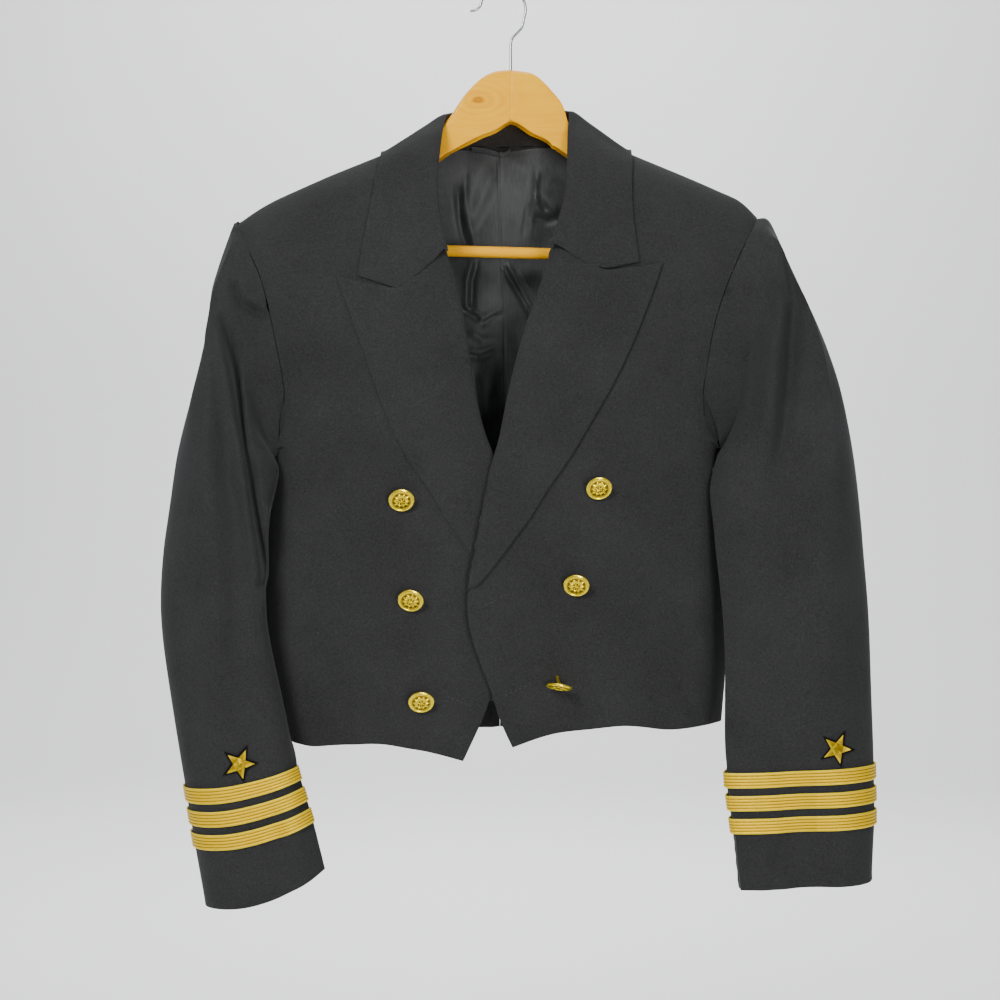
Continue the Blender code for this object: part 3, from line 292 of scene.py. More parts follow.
def makeThread():
    material, shader, place = startMaterial("greyThread", {"Roughness": 0.8})
    tone = place.cloud(2500, 1).clip(0.3, 0.7)
    plug(shader, Base_Color=tone.tint((0.020, 0.020, 0.021), (0.060, 0.060, 0.062)))
    return material


def makeFloorFinish():
    material, shader, place = startMaterial("paleFloor", {"Roughness": 0.95, "Specular IOR Level": 0.1})
    plug(shader, Base_Color=place.cloud(1.2, 2).tint((0.76, 0.765, 0.77), (0.80, 0.805, 0.81)))
    return material


def pick(piece):
    # makes this the only selected object
    if bpy.context.object and bpy.context.object.mode != "OBJECT":
        bpy.ops.object.mode_set(mode="OBJECT")
    bpy.ops.object.select_all(action="DESELECT")
    piece.select_set(True)
    bpy.context.view_layer.objects.active = piece


def bake(piece):
    # applies every modifier
    pick(piece)
    for modifier in list(piece.modifiers):
        bpy.ops.object.modifier_apply(modifier=modifier.name)


def newPiece(name, mesh):
    piece = bpy.data.objects.new(name, mesh)
    mesh.name = name
    bpy.context.scene.collection.objects.link(piece)
    return piece


def copyNode(node, name):
    # a welded copy of a CAD node, its triangles joined to four-sided faces
    piece = newPiece(name, nodes[node].data.copy())
    piece.data.materials.clear()
    pick(piece)
    bpy.ops.object.mode_set(mode="EDIT")
    bpy.ops.mesh.select_all(action="SELECT")
    bpy.ops.mesh.remove_doubles(threshold=0.00002)
    bpy.ops.mesh.customdata_custom_splitnormals_clear()
    bpy.ops.mesh.mark_sharp(clear=True)
    bpy.ops.mesh.tris_convert_to_quads(face_threshold=math.radians(60), shape_threshold=math.radians(120))
    bpy.ops.object.mode_set(mode="OBJECT")
    for layer in list(piece.data.uv_layers):
        piece.data.uv_layers.remove(layer)
    return piece


def creaseRims(piece, angle=62, turn=32):
    # holds the edges round a wall's rim, and the corners of its outline
    work = bmesh.new()
    work.from_mesh(piece.data)
    edgeCrease = work.edges.layers.float.new("crease_edge")
    cornerCrease = work.verts.layers.float.new("crease_vert")
    held = {}
    for edge in work.edges:
        if edge.calc_face_angle(0) > math.radians(angle):
            edge[edgeCrease] = 1
            for vert in edge.verts:
                held.setdefault(vert, []).append(edge.other_vert(vert).co - vert.co)
    for vert, ways in held.items():
        if len(ways) == 2 and ways[0].angle(-ways[1]) > math.radians(turn):
            vert[cornerCrease] = 1
    work.to_mesh(piece.data)
    work.free()


def smoothOut(piece, levels, fits=4):
    # rounds the faces, while the surface still runs through the points that it started from
    modifier = piece.modifiers.new("smooth", "SUBSURF")
    modifier.levels = levels
    modifier.render_levels = levels
    modifier.boundary_smooth = "PRESERVE_CORNERS"
    modifier.uv_smooth = "NONE"
    wanted = readPoints(piece)
    held = wanted.copy()
    for turn in range(fits):
        bpy.context.view_layer.update()
        shown = piece.evaluated_get(bpy.context.evaluated_depsgraph_get())
        found = shown.to_mesh()
        places = np.empty(len(found.vertices) * 3)
        found.vertices.foreach_get("co", places)
        shown.to_mesh_clear()
        held += 0.9 * (wanted - places.reshape(-1, 3)[: len(wanted)])
        writePoints(piece, held)
    bake(piece)


def softenRims(piece, width, angle=55):
    modifier = piece.modifiers.new("soften", "BEVEL")
    modifier.width = width
    modifier.segments = 2
    modifier.limit_method = "ANGLE"
    modifier.angle_limit = math.radians(angle)
    bake(piece)


def readPoints(piece):
    points = np.empty(len(piece.data.vertices) * 3)
    piece.data.vertices.foreach_get("co", points)
    return points.reshape(-1, 3)


def writePoints(piece, points):
    piece.data.vertices.foreach_set("co", np.ascontiguousarray(points, dtype=np.float64).ravel())
    piece.data.update()


def readNormals(piece):
    normals = np.empty(len(piece.data.vertices) * 3)
    piece.data.vertices.foreach_get("normal", normals)
    return normals.reshape(-1, 3)


def finishPiece(piece, material, slot, *replaced, smooth=40):
    piece.data.materials.clear()
    piece.data.materials.append(material)
    pick(piece)
    bpy.ops.object.shade_smooth_by_angle(angle=math.radians(smooth))
    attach(piece, "root")
    if replaced:
        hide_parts(*replaced)
    pieces[piece.name] = piece
    return piece


def ramp(low, high, value):
    share = np.clip((value - low) / (high - low), 0, 1)
    return share * share * (3 - 2 * share)


# path in mm as (x, z); half width and depth in mm, depth below 0 is a trough; lean puts a shoulder on one side;
# ends are the shares of the path over which a fold fades, 0 for an end that keeps its depth
sleeveFolds = (
    {"path": ((-243, -280), (-235, -317), (-230, -342), (-223, -393), (-216, -432), (-205, -495), (-200, -532)),
     "half": 4.2, "depth": -17.0, "lean": -0.35, "slide": 4.0, "ends": (0.3, 0.06)},
    {"path": ((-251, -280), (-249, -365), (-243, -453), (-240, -547), (-238, -614), (-243, -668)),
     "half": 9, "depth": 5.0, "lean": 0.4, "ends": (0.2, 0.3)},
    {"path": ((-234, -262), (-224, -285), (-199, -297)),
     "half": 4.5, "depth": -6.5, "lean": 0.7, "slide": 1.5},
    {"path": ((-228, -305), (-214, -322), (-205, -350)), "half": 9, "depth": 2.6},
    {"path": ((-208, -330), (-202, -360), (-196, -395)), "half": 8, "depth": -3.0},
    {"path": ((-272, -560), (-262, -620), (-262, -690)), "half": 10, "depth": -2.4, "lean": 0.3},
    {"path": ((-196, -700), (-190, -745), (-178, -790)),
     "half": 9, "depth": -2.6, "lean": 0.3, "ends": (0.4, 0)},
    {"path": ((231, -214), (240, -242), (238, -285), (232, -337), (226, -388), (217, -436)),
     "half": 8, "depth": 6.5, "ends": (0.1, 0.35)},
    {"path": ((247, -228), (255, -285), (249, -345), (243, -400), (233, -448)),
     "half": 7, "depth": -8.0, "lean": -0.35, "slide": 1.5, "ends": (0.15, 0.3)},
    {"path": ((218, -300), (221, -350), (214, -400)), "half": 6, "depth": -4.0, "lean": 0.3},
    {"path": ((262, -285), (262, -330), (256, -372)), "half": 6, "depth": 2.0},
    {"path": ((198, -272), (204, -278), (211, -281)),
     "half": 4, "depth": -2.6, "lean": 0.5, "ends": (0.1, 0.5)},
    {"path": ((222, -735), (224, -760), (225, -782)), "half": 8, "depth": 2.8, "ends": (0.5, 0)},
    {"path": ((252, -733), (240, -756), (229, -780)),
     "half": 7, "depth": -3.0, "lean": 0.3, "ends": (0.4, 0)},
    {"path": ((206, -520), (210, -590), (206, -650)), "half": 12, "depth": -2.2, "lean": 0.2},
    {"path": ((276, -480), (282, -560), (276, -640)), "half": 14, "depth": 2.2, "lean": 0.2},
)
bodyFolds = (
    {"path": ((-160, -300), (-150, -380), (-150, -460)), "half": 22, "depth": -2.0},
    {"path": ((-122, -400), (-112, -500), (-118, -600)), "half": 18, "depth": 1.8, "lean": 0.3},
    {"path": ((-86, -470), (-84, -500), (-80, -530)), "half": 7, "depth": -1.5, "lean": 0.3},
    {"path": ((150, -300), (146, -380), (152, -460)), "half": 24, "depth": -2.0},
    {"path": ((112, -420), (104, -520), (110, -610)), "half": 18, "depth": 1.8, "lean": 0.2},
    {"path": ((154, -606), (158, -620), (170, -640)),
     "half": 6, "depth": -1.8, "lean": 0.4, "ends": (0.4, 0)},
    {"path": ((-132, -610), (-134, -640), (-134, -672)),
     "half": 6, "depth": -1.6, "lean": 0.3, "ends": (0.5, 0)},
)
backFolds = (
    {"path": ((-150, -230), (-120, -290), (-60, -330)), "half": 14, "depth": -3.0, "lean": 0.4},
    {"path": ((150, -225), (122, -285), (64, -335)), "half": 14, "depth": -3.0, "lean": -0.4},
    {"path": ((-236, -300), (-232, -380), (-226, -450)), "half": 9, "depth": -4.0, "lean": 0.3},
    {"path": ((238, -300), (242, -380), (236, -450)), "half": 9, "depth": -4.0, "lean": -0.3},
    {"path": ((-258, -520), (-240, -545), (-214, -560)), "half": 7, "depth": -3.0, "lean": 0.4},
    {"path": ((280, -520), (262, -548), (232, -560)), "half": 7, "depth": -3.0, "lean": 0.4},
    {"path": ((-60, -480), (-66, -570), (-64, -664)),
     "half": 16, "depth": 2.4, "lean": 0.2, "ends": (0.4, 0)},
    {"path": ((70, -470), (76, -560), (72, -664)), "half": 16, "depth": 2.2, "lean": 0.2, "ends": (0.4, 0)},
)
# height and depth of a sleeve's middle, in mm
sleeveMiddle = ((-860, -46), (-803, -42), (-664, -30), (-553, -16), (-412, -3), (-205, 0))
# how each sleeve rests against the body below its armhole, in m
sleeveRests = (
    {"side": -1, "height": -0.419, "spread": 0.024, "start": -0.222, "full": -0.192, "push": 0.009},
    {"side": 1, "height": -0.411, "spread": 0.015, "start": 0.222, "full": 0.198, "push": -0.005},
)
# in half widths of a fold: how far it reaches, then place and width of its shoulder and of its overhang
foldShape = {"reach": 4, "shoulder": (1.9, 0.9), "hood": (1.5, 0.9), "ends": (0.22, 0.22)}


def foldMove(points, folds):
    # how far out the folds move each point, in metres, and how far their overhang slides it in x and z
    total = np.zeros(len(points))
    slid = np.zeros((len(points), 2))
    spot = points[:, [0, 2]] / mm
    for fold in folds:
        path = np.array(fold["path"], float)
        lengths = np.concatenate([[0], np.cumsum(np.linalg.norm(np.diff(path, axis=0), axis=1))])
        reach = fold["half"] * foldShape["reach"]
        inside = (spot > path.min(axis=0) - reach) & (spot < path.max(axis=0) + reach)
        near = np.nonzero(inside.all(axis=1))[0]
        if not len(near):
            continue
        best = np.full(len(near), 1e9)
        side = np.zeros(len(near))
        place = np.zeros(len(near))
        towards = np.zeros((len(near), 2))
        for start, end, low in zip(path[:-1], path[1:], lengths):
            way = end - start
            size = np.linalg.norm(way)
            away = spot[near] - start
            t = np.clip(away @ way / size**2, 0, 1)
            gap = away - t[:, None] * way
            distance = np.linalg.norm(gap, axis=1)
            closer = distance < best
            best[closer] = distance[closer]
            side[closer] = np.sign(way[0] * away[closer, 1] - way[1] * away[closer, 0])
            place[closer] = (low + t[closer] * size) / lengths[-1]
            towards[closer] = -gap[closer] / np.maximum(distance[closer], 0.01)[:, None]
        across = best / fold["half"]
        shape = np.exp(-(across**2))
        lean = fold.get("lean", 0)
        leeward = side * np.sign(lean) > 0
        if lean:
            far, width = foldShape["shoulder"]
            shape = shape - abs(lean) * (np.exp(-(((across - far) / width) ** 2)) * leeward)
        ends = fold.get("ends", foldShape["ends"])
        fade = np.ones(len(near))
        if ends[0]:
            fade *= ramp(0, ends[0], place)
        if ends[1]:
            fade *= ramp(0, ends[1], 1 - place)
        total[near] += fold["depth"] * mm * shape * fade
        if "slide" in fold:
            far, width = foldShape["hood"]
            hood = np.exp(-(((across - far) / width) ** 2)) * leeward * fade
            slid[near] += towards * (fold["slide"] * mm * hood)[:, None]
    return total, slid


def foldSleeve(points):
    # the sleeve's folds, on its front and its back
    heights, depths = np.array(sleeveMiddle, float).T * mm
    middle = np.interp(points[:, 2], heights, depths)
    front = ramp(0.0, 0.016, middle - points[:, 1])
    back = ramp(0.0, 0.016, points[:, 1] - middle)
    out, slid = foldMove(points, sleeveFolds)
    points[:, 1] += back * foldMove(points, backFolds)[0] - front * out
    points[:, [0, 2]] += front[:, None] * slid
    for rest in sleeveRests:
        near = np.exp(-(((points[:, 2] - rest["height"]) / rest["spread"]) ** 2))
        near *= ramp(rest["start"], rest["full"], points[:, 0]) * (points[:, 0] * rest["side"] > 0)
        points[:, 0] += rest["push"] * near
    return points


sewnPairs = tuple(
    (one + side, other + side)
    for side in ("Right", "Left")
    for one, other in (
        ("sleeveTop", "front"), ("sleeveTop", "back"), ("sleeveUnder", "front"), ("sleeveUnder", "back"),
        ("sleeveTop", "sleeveUnder"), ("front", "back"), ("lapel", "front"),
    )
) +(("lapelRight", "collarWool"), ("lapelLeft", "collarWool"), ("backRight", "backLeft"))
sewing = {"reach": 0.0036, "spread": 0.0055, "notch": 0.086, "overlap": 1.15}


def findRim(piece):
    work = bmesh.new()
    work.from_mesh(piece.data)
    rim = sorted({v.index for e in work.edges if e.calc_face_angle(0) > math.radians(60) for v in e.verts})
    work.free()
    return rim


def treeOf(places):
    tree = KDTree(max(len(places), 1))
    for i, place in enumerate(places):
        tree.insert(Vector(place), i)
    tree.balance()
    return tree


def sewPieces(made):
    # draws rims that lie side by side onto the line midway between them
    rims = {name: findRim(piece) for name, piece in made.items() if not name.startswith("star")}
    points = {name: readPoints(made[name]) for name in rims}
    pulls = {name: {} for name in rims}
    for pair in sewnPairs:
        for name, other in (pair, pair[::-1]):
            tree = treeOf([points[other][i] for i in rims[other]])
            for index in rims[name]:
                place = Vector(points[name][index])
                if "collarWool" in pair and abs(place.x) > sewing["notch"]:
                    continue
                met, found, gap = tree.find(place)
                if gap < sewing["reach"] and gap < pulls[name].get(index, (None, 1))[1]:
                    pulls[name][index] = ((met - place) * 0.5 * sewing["overlap"], gap)
    for name, pull in pulls.items():
        order = list(pull)
        if not order:
            continue
        tree = treeOf([points[name][i] for i in order])
        shifts = np.array([pull[i][0] for i in order])
        moved = points[name].copy()
        for i, place in enumerate(points[name]):
            met, found, gap = tree.find(Vector(place))
            if gap < 3 * sewing["spread"]:
                moved[i] += shifts[found] * math.exp(-((gap / sewing["spread"]) ** 2))
        writePoints(made[name], moved)


# one row a sewn piece: node, subdivision, cut width and length in m, area in square m, what it hangs from
clothPieces = {
    "frontRight": {"node": "front_right", "levels": 3,
                   "flat": (0.27, 0.57), "area": 0.105, "rests": "hanger_arm_right"},
    "frontLeft": {"node": "front_left", "levels": 3,
                  "flat": (0.29, 0.56), "area": 0.108, "rests": "hanger_arm_left"},
    "backRight": {"node": "back_right", "levels": 3,
                  "flat": (0.26, 0.55), "area": 0.115, "rests": "hanger_arm_right"},
    "backLeft": {"node": "back_left", "levels": 3,
                 "flat": (0.26, 0.55), "area": 0.115, "rests": "hanger_arm_left"},
    "sleeveTopRight": {"node": "sleeve_top_right", "levels": 3,
                       "flat": (0.20, 0.62), "area": 0.10, "rests": "front_right"},
    "sleeveUnderRight": {"node": "sleeve_under_right", "levels": 2,
                         "flat": (0.16, 0.58), "area": 0.07, "rests": "back_right"},
    "sleeveTopLeft": {"node": "sleeve_top_left", "levels": 3,
                      "flat": (0.20, 0.60), "area": 0.10, "rests": "front_left"},
    "sleeveUnderLeft": {"node": "sleeve_under_left", "levels": 2,
                        "flat": (0.16, 0.56), "area": 0.07, "rests": "back_left"},
    "lapelRight": {"node": "lapel_right", "levels": 2,
                   "flat": (0.16, 0.31), "area": 0.028, "rests": "front_right"},
    "lapelLeft": {"node": "lapel_left", "levels": 2,
                  "flat": (0.16, 0.33), "area": 0.030, "rests": "front_left"},
    "collarWool": {"node": "collar", "levels": 2, "flat": (0.56, 0.11), "area": 0.045, "rests": "back_right"},
    "starBackRight": {"node": "star_backing_right", "levels": 1,
                      "flat": (0.034, 0.034), "area": 0.00042, "rests": "sleeve_top_right"},
    "starBackLeft": {"node": "star_backing_left", "levels": 1,
                     "flat": (0.034, 0.034), "area": 0.00042, "rests": "sleeve_top_left"},
}


def shapeCloth(wool, felt):
    # every wool piece from its CAD node, smoothed and folded
    made = {}
    for name, row in clothPieces.items():
        piece = copyNode(row["node"], name)
        creaseRims(piece)
        smoothOut(piece, row["levels"], 0 if name.startswith("star") else 4)
        made[name] = piece
    sewPieces(made)
    markSeams(made)
    closeGorge(made)
    for name, piece in made.items():
        if name.startswith("sleeveTop"):
            refineNear(piece, [f for f in sleeveFolds if "slide" in f])
        points = readPoints(piece)
        if name.startswith(("sleeve", "star")):
            points = foldSleeve(points)
        elif name.startswith("front"):
            points[:, 1] -= ramp(0.004, 0.020, -points[:, 1]) * foldMove(points, bodyFolds)[0]
        elif name.startswith("back"):
            points[:, 1] += ramp(0.004, 0.020, points[:, 1]) * foldMove(points, backFolds)[0]
        writePoints(piece, points)
        badge = name.startswith("star")
        softenRims(piece, 0.0002 if badge else 0.00045)
        row = clothPieces[name]
        finishPiece(piece, felt if badge else wool, "black_wool", row["node"])
        print("cloth:", name, len(piece.data.polygons))
    return made


# where collar and lapel join, from the notch to the roll, in mm as (x, z)
gorges = {"Right": ((-88, -273), (-45, -239)), "Left": ((88, -256), (43, -239))}
gorgeLift = {
    "lapel": 3.0, "collarWool": -0.8, "width": 6.0, "start": (0.06, 0.30), "end": (1.45, 1.15), "under": 0.0006,
}


def closeGorge(made):
    # lets the lapel's upper edge run under the collar, so that only the notch stays open
    for side, (notch, roll) in gorges.items():
        notch, roll = np.array(notch, float), np.array(roll, float)
        way = (roll - notch) / np.linalg.norm(roll - notch)
        up = np.array([-way[1], way[0]]) * (1 if way[0] > 0 else -1)
        for name, lift in (("lapel" + side, gorgeLift["lapel"]), ("collarWool", gorgeLift["collarWool"])):
            points = readPoints(made[name])
            away = points[:, [0, 2]] / mm - notch
            along = away @ way / np.linalg.norm(roll - notch)
            height = away @ up
            near = np.exp(-((height / gorgeLift["width"]) ** 2))
            near = near * ramp(*gorgeLift["start"], along) * ramp(*gorgeLift["end"], along)
            points[:, [0, 2]] += (lift * mm * near)[:, None] * up
            if lift > 0:
                points[:, 1] += gorgeLift["under"] * near
            writePoints(made[name], points)


def cutEdges(piece, chosen, cuts):
    # smaller faces along the edges for which chosen is true
    work = bmesh.new()
    work.from_mesh(piece.data)
    fine = [edge for edge in work.edges if chosen(edge)]
    bmesh.ops.subdivide_edges(work, edges=fine, cuts=cuts, use_grid_fill=True)
    work.to_mesh(piece.data)
    work.free()


def refineNear(piece, folds, reach=2.6):
    # smaller faces where a narrow fold runs
    spots = readPoints(piece)[:, [0, 2]] / mm
    close = np.zeros(len(spots), bool)
    for fold in folds:
        path = np.array(fold["path"], float)
        for start, end in zip(path[:-1], path[1:]):
            way = end - start
            t = np.clip((spots - start) @ way / (way @ way), 0, 1)
            close |= np.linalg.norm(spots - start - t[:, None] * way, axis=1) < fold["half"] * reach
    cutEdges(piece, lambda edge: all(close[vert.index] for vert in edge.verts), 1)


# in m: how near a sewn-on rim is, lift and width along a seam and along a free edge, and lift, place and
# width of the ridge beside a seam
seamShape = {"near": 0.0011, "sewn": (-0.00042, 0.0030), "free": (0.00030, 0.0026), "ridge": (0.00022, 0.0075, 0.003)}


def markSeams(made):
    # sinks the cloth a little along each seam, and thickens its turned edges
    rims = {name: findRim(piece) for name, piece in made.items()}
    points = {name: readPoints(piece) for name, piece in made.items()}
    owner = [name for name, found in rims.items() for index in found]
    tree = treeOf([points[name][index] for name, found in rims.items() for index in found])
    ridge, far, broad = seamShape["ridge"]
    for name, piece in made.items():
        if name.startswith("star"):
            continue
        sewn, free = [], []
        for index in rims[name]:
            close = tree.find_range(Vector(points[name][index]), seamShape["near"])
            (sewn if any(owner[i] != name for co, i, gap in close) else free).append(points[name][index])
        normals = readNormals(piece)
        moved = points[name].copy()
        for group, (amount, width) in ((sewn, seamShape["sewn"]), (free, seamShape["free"])):
            if not group:
                continue
            near = treeOf(group)
            gaps = np.array([near.find(Vector(place))[2] for place in points[name]])
            moved += (amount * np.exp(-((gaps / width) ** 2)))[:, None] * normals
            if group is sewn:
                moved += (ridge * np.exp(-(((gaps - far) / broad) ** 2)))[:, None] * normals
        writePoints(piece, moved)


liningFolds = (
    {"path": ((-2, -136), (-1, -176), (0, -215), (1, -239), (4, -275), (4, -315), (5, -382), (7, -420), (1, -600)),
     "half": 1.1, "depth": -1.1, "lean": 0.3, "ends": (0, 0)},
    {"path": ((2, -240), (14, -261), (31, -291)),
     "half": 2.4, "depth": -4.2, "lean": 0.7, "ends": (0.1, 0.1)},
    {"path": ((12, -246), (22, -264), (36, -284)), "half": 2.6, "depth": -2.6, "lean": 0.6},
    {"path": ((-19, -233), (-25, -255), (-26, -283)),
     "half": 2.8, "depth": -4.0, "lean": -0.6, "ends": (0.2, 0.1)},
    {"path": ((6, -283), (-6, -288), (-20, -297)), "half": 2.2, "depth": -2.4, "lean": -0.7},
    {"path": ((-36, -280), (-26, -286), (-16, -293)), "half": 2.4, "depth": -2.8, "lean": 0.6},
    {"path": ((-4, -150), (-16, -178), (-32, -212)), "half": 6, "depth": 2.4, "lean": 0.3},
    {"path": ((30, -148), (27, -180), (20, -220)), "half": 2.8, "depth": -2.6, "lean": 0.6},
    {"path": ((41, -152), (37, -175), (43, -196)), "half": 3.2, "depth": -3.0, "lean": -0.5},
    {"path": ((20, -186), (36, -180), (56, -194)), "half": 3.2, "depth": 2.4},
    {"path": ((26, -196), (42, -201), (58, -197)), "half": 3.4, "depth": -3.2, "lean": 0.5},
    {"path": ((-39, -165), (-36, -200), (-28, -234)), "half": 3.6, "depth": -3.8, "lean": 0.5},
    {"path": ((-30, -150), (-33, -190), (-31, -226)), "half": 2.6, "depth": 1.6},
    {"path": ((-34, -322), (-18, -325), (0, -318)), "half": 2.6, "depth": -2.8, "lean": 0.7},
    {"path": ((-30, -300), (-16, -309), (2, -306)), "half": 3.4, "depth": 1.6},
    {"path": ((-12, -328), (-14, -366), (-6, -410)), "half": 8, "depth": 2.2, "lean": 0.4},
    {"path": ((16, -300), (19, -350), (14, -400)), "half": 5, "depth": -2.6, "lean": 0.4},
    {"path": ((-24, -335), (-20, -370), (-12, -402)), "half": 4, "depth": -2.6, "lean": -0.5},
    {"path": ((-70, -240), (-66, -330), (-60, -430)), "half": 9, "depth": -3.0, "lean": 0.4},
    {"path": ((70, -250), (74, -340), (66, -450)), "half": 9, "depth": -3.0, "lean": -0.4},
    {"path": ((-110, -420), (-90, -520), (-96, -610)), "half": 12, "depth": 2.4, "lean": 0.3},
    {"path": ((110, -400), (96, -500), (100, -610)), "half": 12, "depth": 2.4, "lean": 0.3},
)
liningShape = {
    "flat": (0.42, 0.50), "area": 0.19, "levels": 3, "cuts": 2, "shown": (-0.085, 0.085, -0.44), "rim": 0.0003,
    "crumple": 0.0010, "broad": (22, 3.1, 15), "fine": (55, 7.7, 38), "fineShare": 0.5, "foldShare": 0.55,
    "hangs": (-0.1365, -0.150), "lift": 0.0042, "liftAcross": (0.010, 0.048), "liftUp": (-0.172, -0.152),
}


def crumpleAt(x, z, scale):
    across, place, up = scale
    return noise.noise(Vector((x * across, place, z * up)))


def shapeLining(satin):
    piece = copyNode("back_lining", "backLining")
    creaseRims(piece)
    shape = liningShape
    smoothOut(piece, shape["levels"])
    west, east, foot = shape["shown"]
    cutEdges(piece, lambda edge: all(west < v.co.x < east and v.co.z > foot for v in edge.verts), shape["cuts"])
    points = readPoints(piece)
    lift = shape["lift"] * ramp(*shape["liftAcross"], points[:, 0])
    points[:, 2] += lift * ramp(*shape["liftUp"], points[:, 2])
    hangs = ramp(*shape["hangs"], points[:, 2])
    points[:, 1] -= hangs * shape["foldShare"] * foldMove(points, liningFolds)[0]
    crumple = [
        crumpleAt(x, z, shape["broad"]) + shape["fineShare"] * crumpleAt(x, z, shape["fine"])
        for x, z in points[:, [0, 2]]
    ]
    points[:, 1] -= hangs * shape["crumple"] * np.array(crumple)
    writePoints(piece, points)
    softenRims(piece, shape["rim"])
    finishPiece(piece, satin, "black_satin", "back_lining")
    tape = copyNode("hanger_loop", "hangingTape")
    creaseRims(tape)
    smoothOut(tape, 2)
    softenRims(tape, shape["rim"])
    finishPiece(tape, satin, "black_satin", "hanger_loop")


laceShape = {"levels": 3, "cuts": 3, "rib": 0.00050, "sharp": 0.7, "sink": 0.3, "wall": 0.0010, "girthRadius": 0.052}


def shapeLace(side, number, gold):
    # one row of lace: the outer band of its node, ribbed lengthwise
    node = f"stripe_{side}_{number}"
    piece = copyNode(node, f"lace{side.capitalize()}{number}")
    work = bmesh.new()
    work.from_mesh(piece.data)
    middle = sum((v.co for v in work.verts), Vector()) / len(work.verts)
    lost = [f for f in work.faces if f.normal.dot(f.calc_center_median() - middle) <= 0 or abs(f.normal.z) > 0.75]
    bmesh.ops.delete(work, geom=lost, context="FACES")
    uv = work.loops.layers.uv.new("lace")
    for face in work.faces:
        top = sorted(face.verts, key=lambda v: v.co.z)[len(face.verts) // 2 :]
        place = face.calc_center_median()
        turn = math.atan2(place.y - middle.y, place.x - middle.x)
        for loop in face.loops:
            way = math.atan2(loop.vert.co.y - middle.y, loop.vert.co.x - middle.x)
            while way - turn > math.pi:
                way -= 2 * math.pi
            while way - turn < -math.pi:
                way += 2 * math.pi
            loop[uv].uv = (way * laceShape["girthRadius"], 0.0 if loop.vert in top else 1.0)
    work.to_mesh(piece.data)
    work.free()
    smoothOut(piece, laceShape["levels"])
    work = bmesh.new()
    work.from_mesh(piece.data)
    uv = work.loops.layers.uv["lace"]
    steep = []
    for edge in work.edges:
        ends = [next(iter(v.link_loops))[uv].uv.y for v in edge.verts]
        if abs(ends[0] - ends[1]) > 0.1:
            steep.append(edge)
    bmesh.ops.subdivide_edges(work, edges=steep, cuts=laceShape["cuts"], use_grid_fill=True)
    work.normal_update()
    for vert in work.verts:
        place = next(iter(vert.link_loops))[uv].uv
        rib = abs(math.sin(math.pi * laceLook["ribs"] * place.y)) ** laceShape["sharp"]
        vert.co += vert.normal * laceShape["rib"] * (rib - laceShape["sink"])
    work.to_mesh(piece.data)
    work.free()
    writePoints(piece, foldSleeve(readPoints(piece)))
    solid = piece.modifiers.new("wall", "SOLIDIFY")
    solid.thickness = laceShape["wall"]
    solid.offset = -1
    bake(piece)
    finishPiece(piece, gold, "gold_lace", node, smooth=60)


starShape = {"shrink": 0.87, "radius": 0.013, "crown": 0.0012}


def shapeStar(side, gold):
    # a padded star of gold thread: every facet is a little round
    node = "star_" + side
    piece = copyNode(node, "starGold" + side.capitalize())
    work = bmesh.new()
    work.from_mesh(piece.data)
    bmesh.ops.triangulate(work, faces=work.faces)
    poles = sorted(work.verts, key=lambda v: -len(v.link_faces))[:2]
    apex = min(poles, key=lambda v: v.co.y)
    uv = work.loops.layers.uv.new("thread")
    tops = [f for f in work.faces if apex in f.verts]
    for face in work.faces:
        reach = sorted((v for v in face.verts), key=lambda v: -(v.co - apex.co).length)
        axis = (reach[0].co - apex.co).normalized()
        for loop in face.loops:
            away = loop.vert.co - apex.co
            along = away.dot(axis)
            loop[uv].uv = (along, (away - axis * along).length)
    edges = list({e for f in tops for e in f.edges})
    bmesh.ops.subdivide_edges(work, edges=edges, cuts=4, use_grid_fill=True)
    work.normal_update()
    work.to_mesh(piece.data)
    work.free()
    points = foldSleeve(readPoints(piece))
    middle = points.mean(axis=0)
    points[:, [0, 2]] = middle[[0, 2]] + (points[:, [0, 2]] - middle[[0, 2]]) * starShape["shrink"]
    height = 1 - np.linalg.norm((points - middle)[:, [0, 2]], axis=1) / starShape["radius"]
    points[:, 1] -= starShape["crown"] * np.clip(height, 0, 1) * (points[:, 1] < middle[1])
    writePoints(piece, points)
    softenRims(piece, 0.00012, 25)
    finishPiece(piece, gold, "gold_lace", node, smooth=28)


buttonShape = {
    "profile": ((0, 2.8), (9.6, 2.8), (10.8, 3.2), (11.2, 4.1), (11.0, 4.8), (10.4, 5.2), (9.8, 5.1), (9.4, 4.75)),
    "dome": (4.7, 1.9), "steps": 72, "rings": 18, "foot": 2.8,
}
# which node, tilt down and roll in degrees, turn about its own axis
buttonPlaces = (
    ("button_right_1", 34, 4, 10), ("button_right_2", 33, -3, 70), ("button_right_3", 34, 3, 130),
    ("button_left_1", 33, 5, 200), ("button_left_2", 34, -4, 260), ("button_left_3", 74, -8, 320),
)


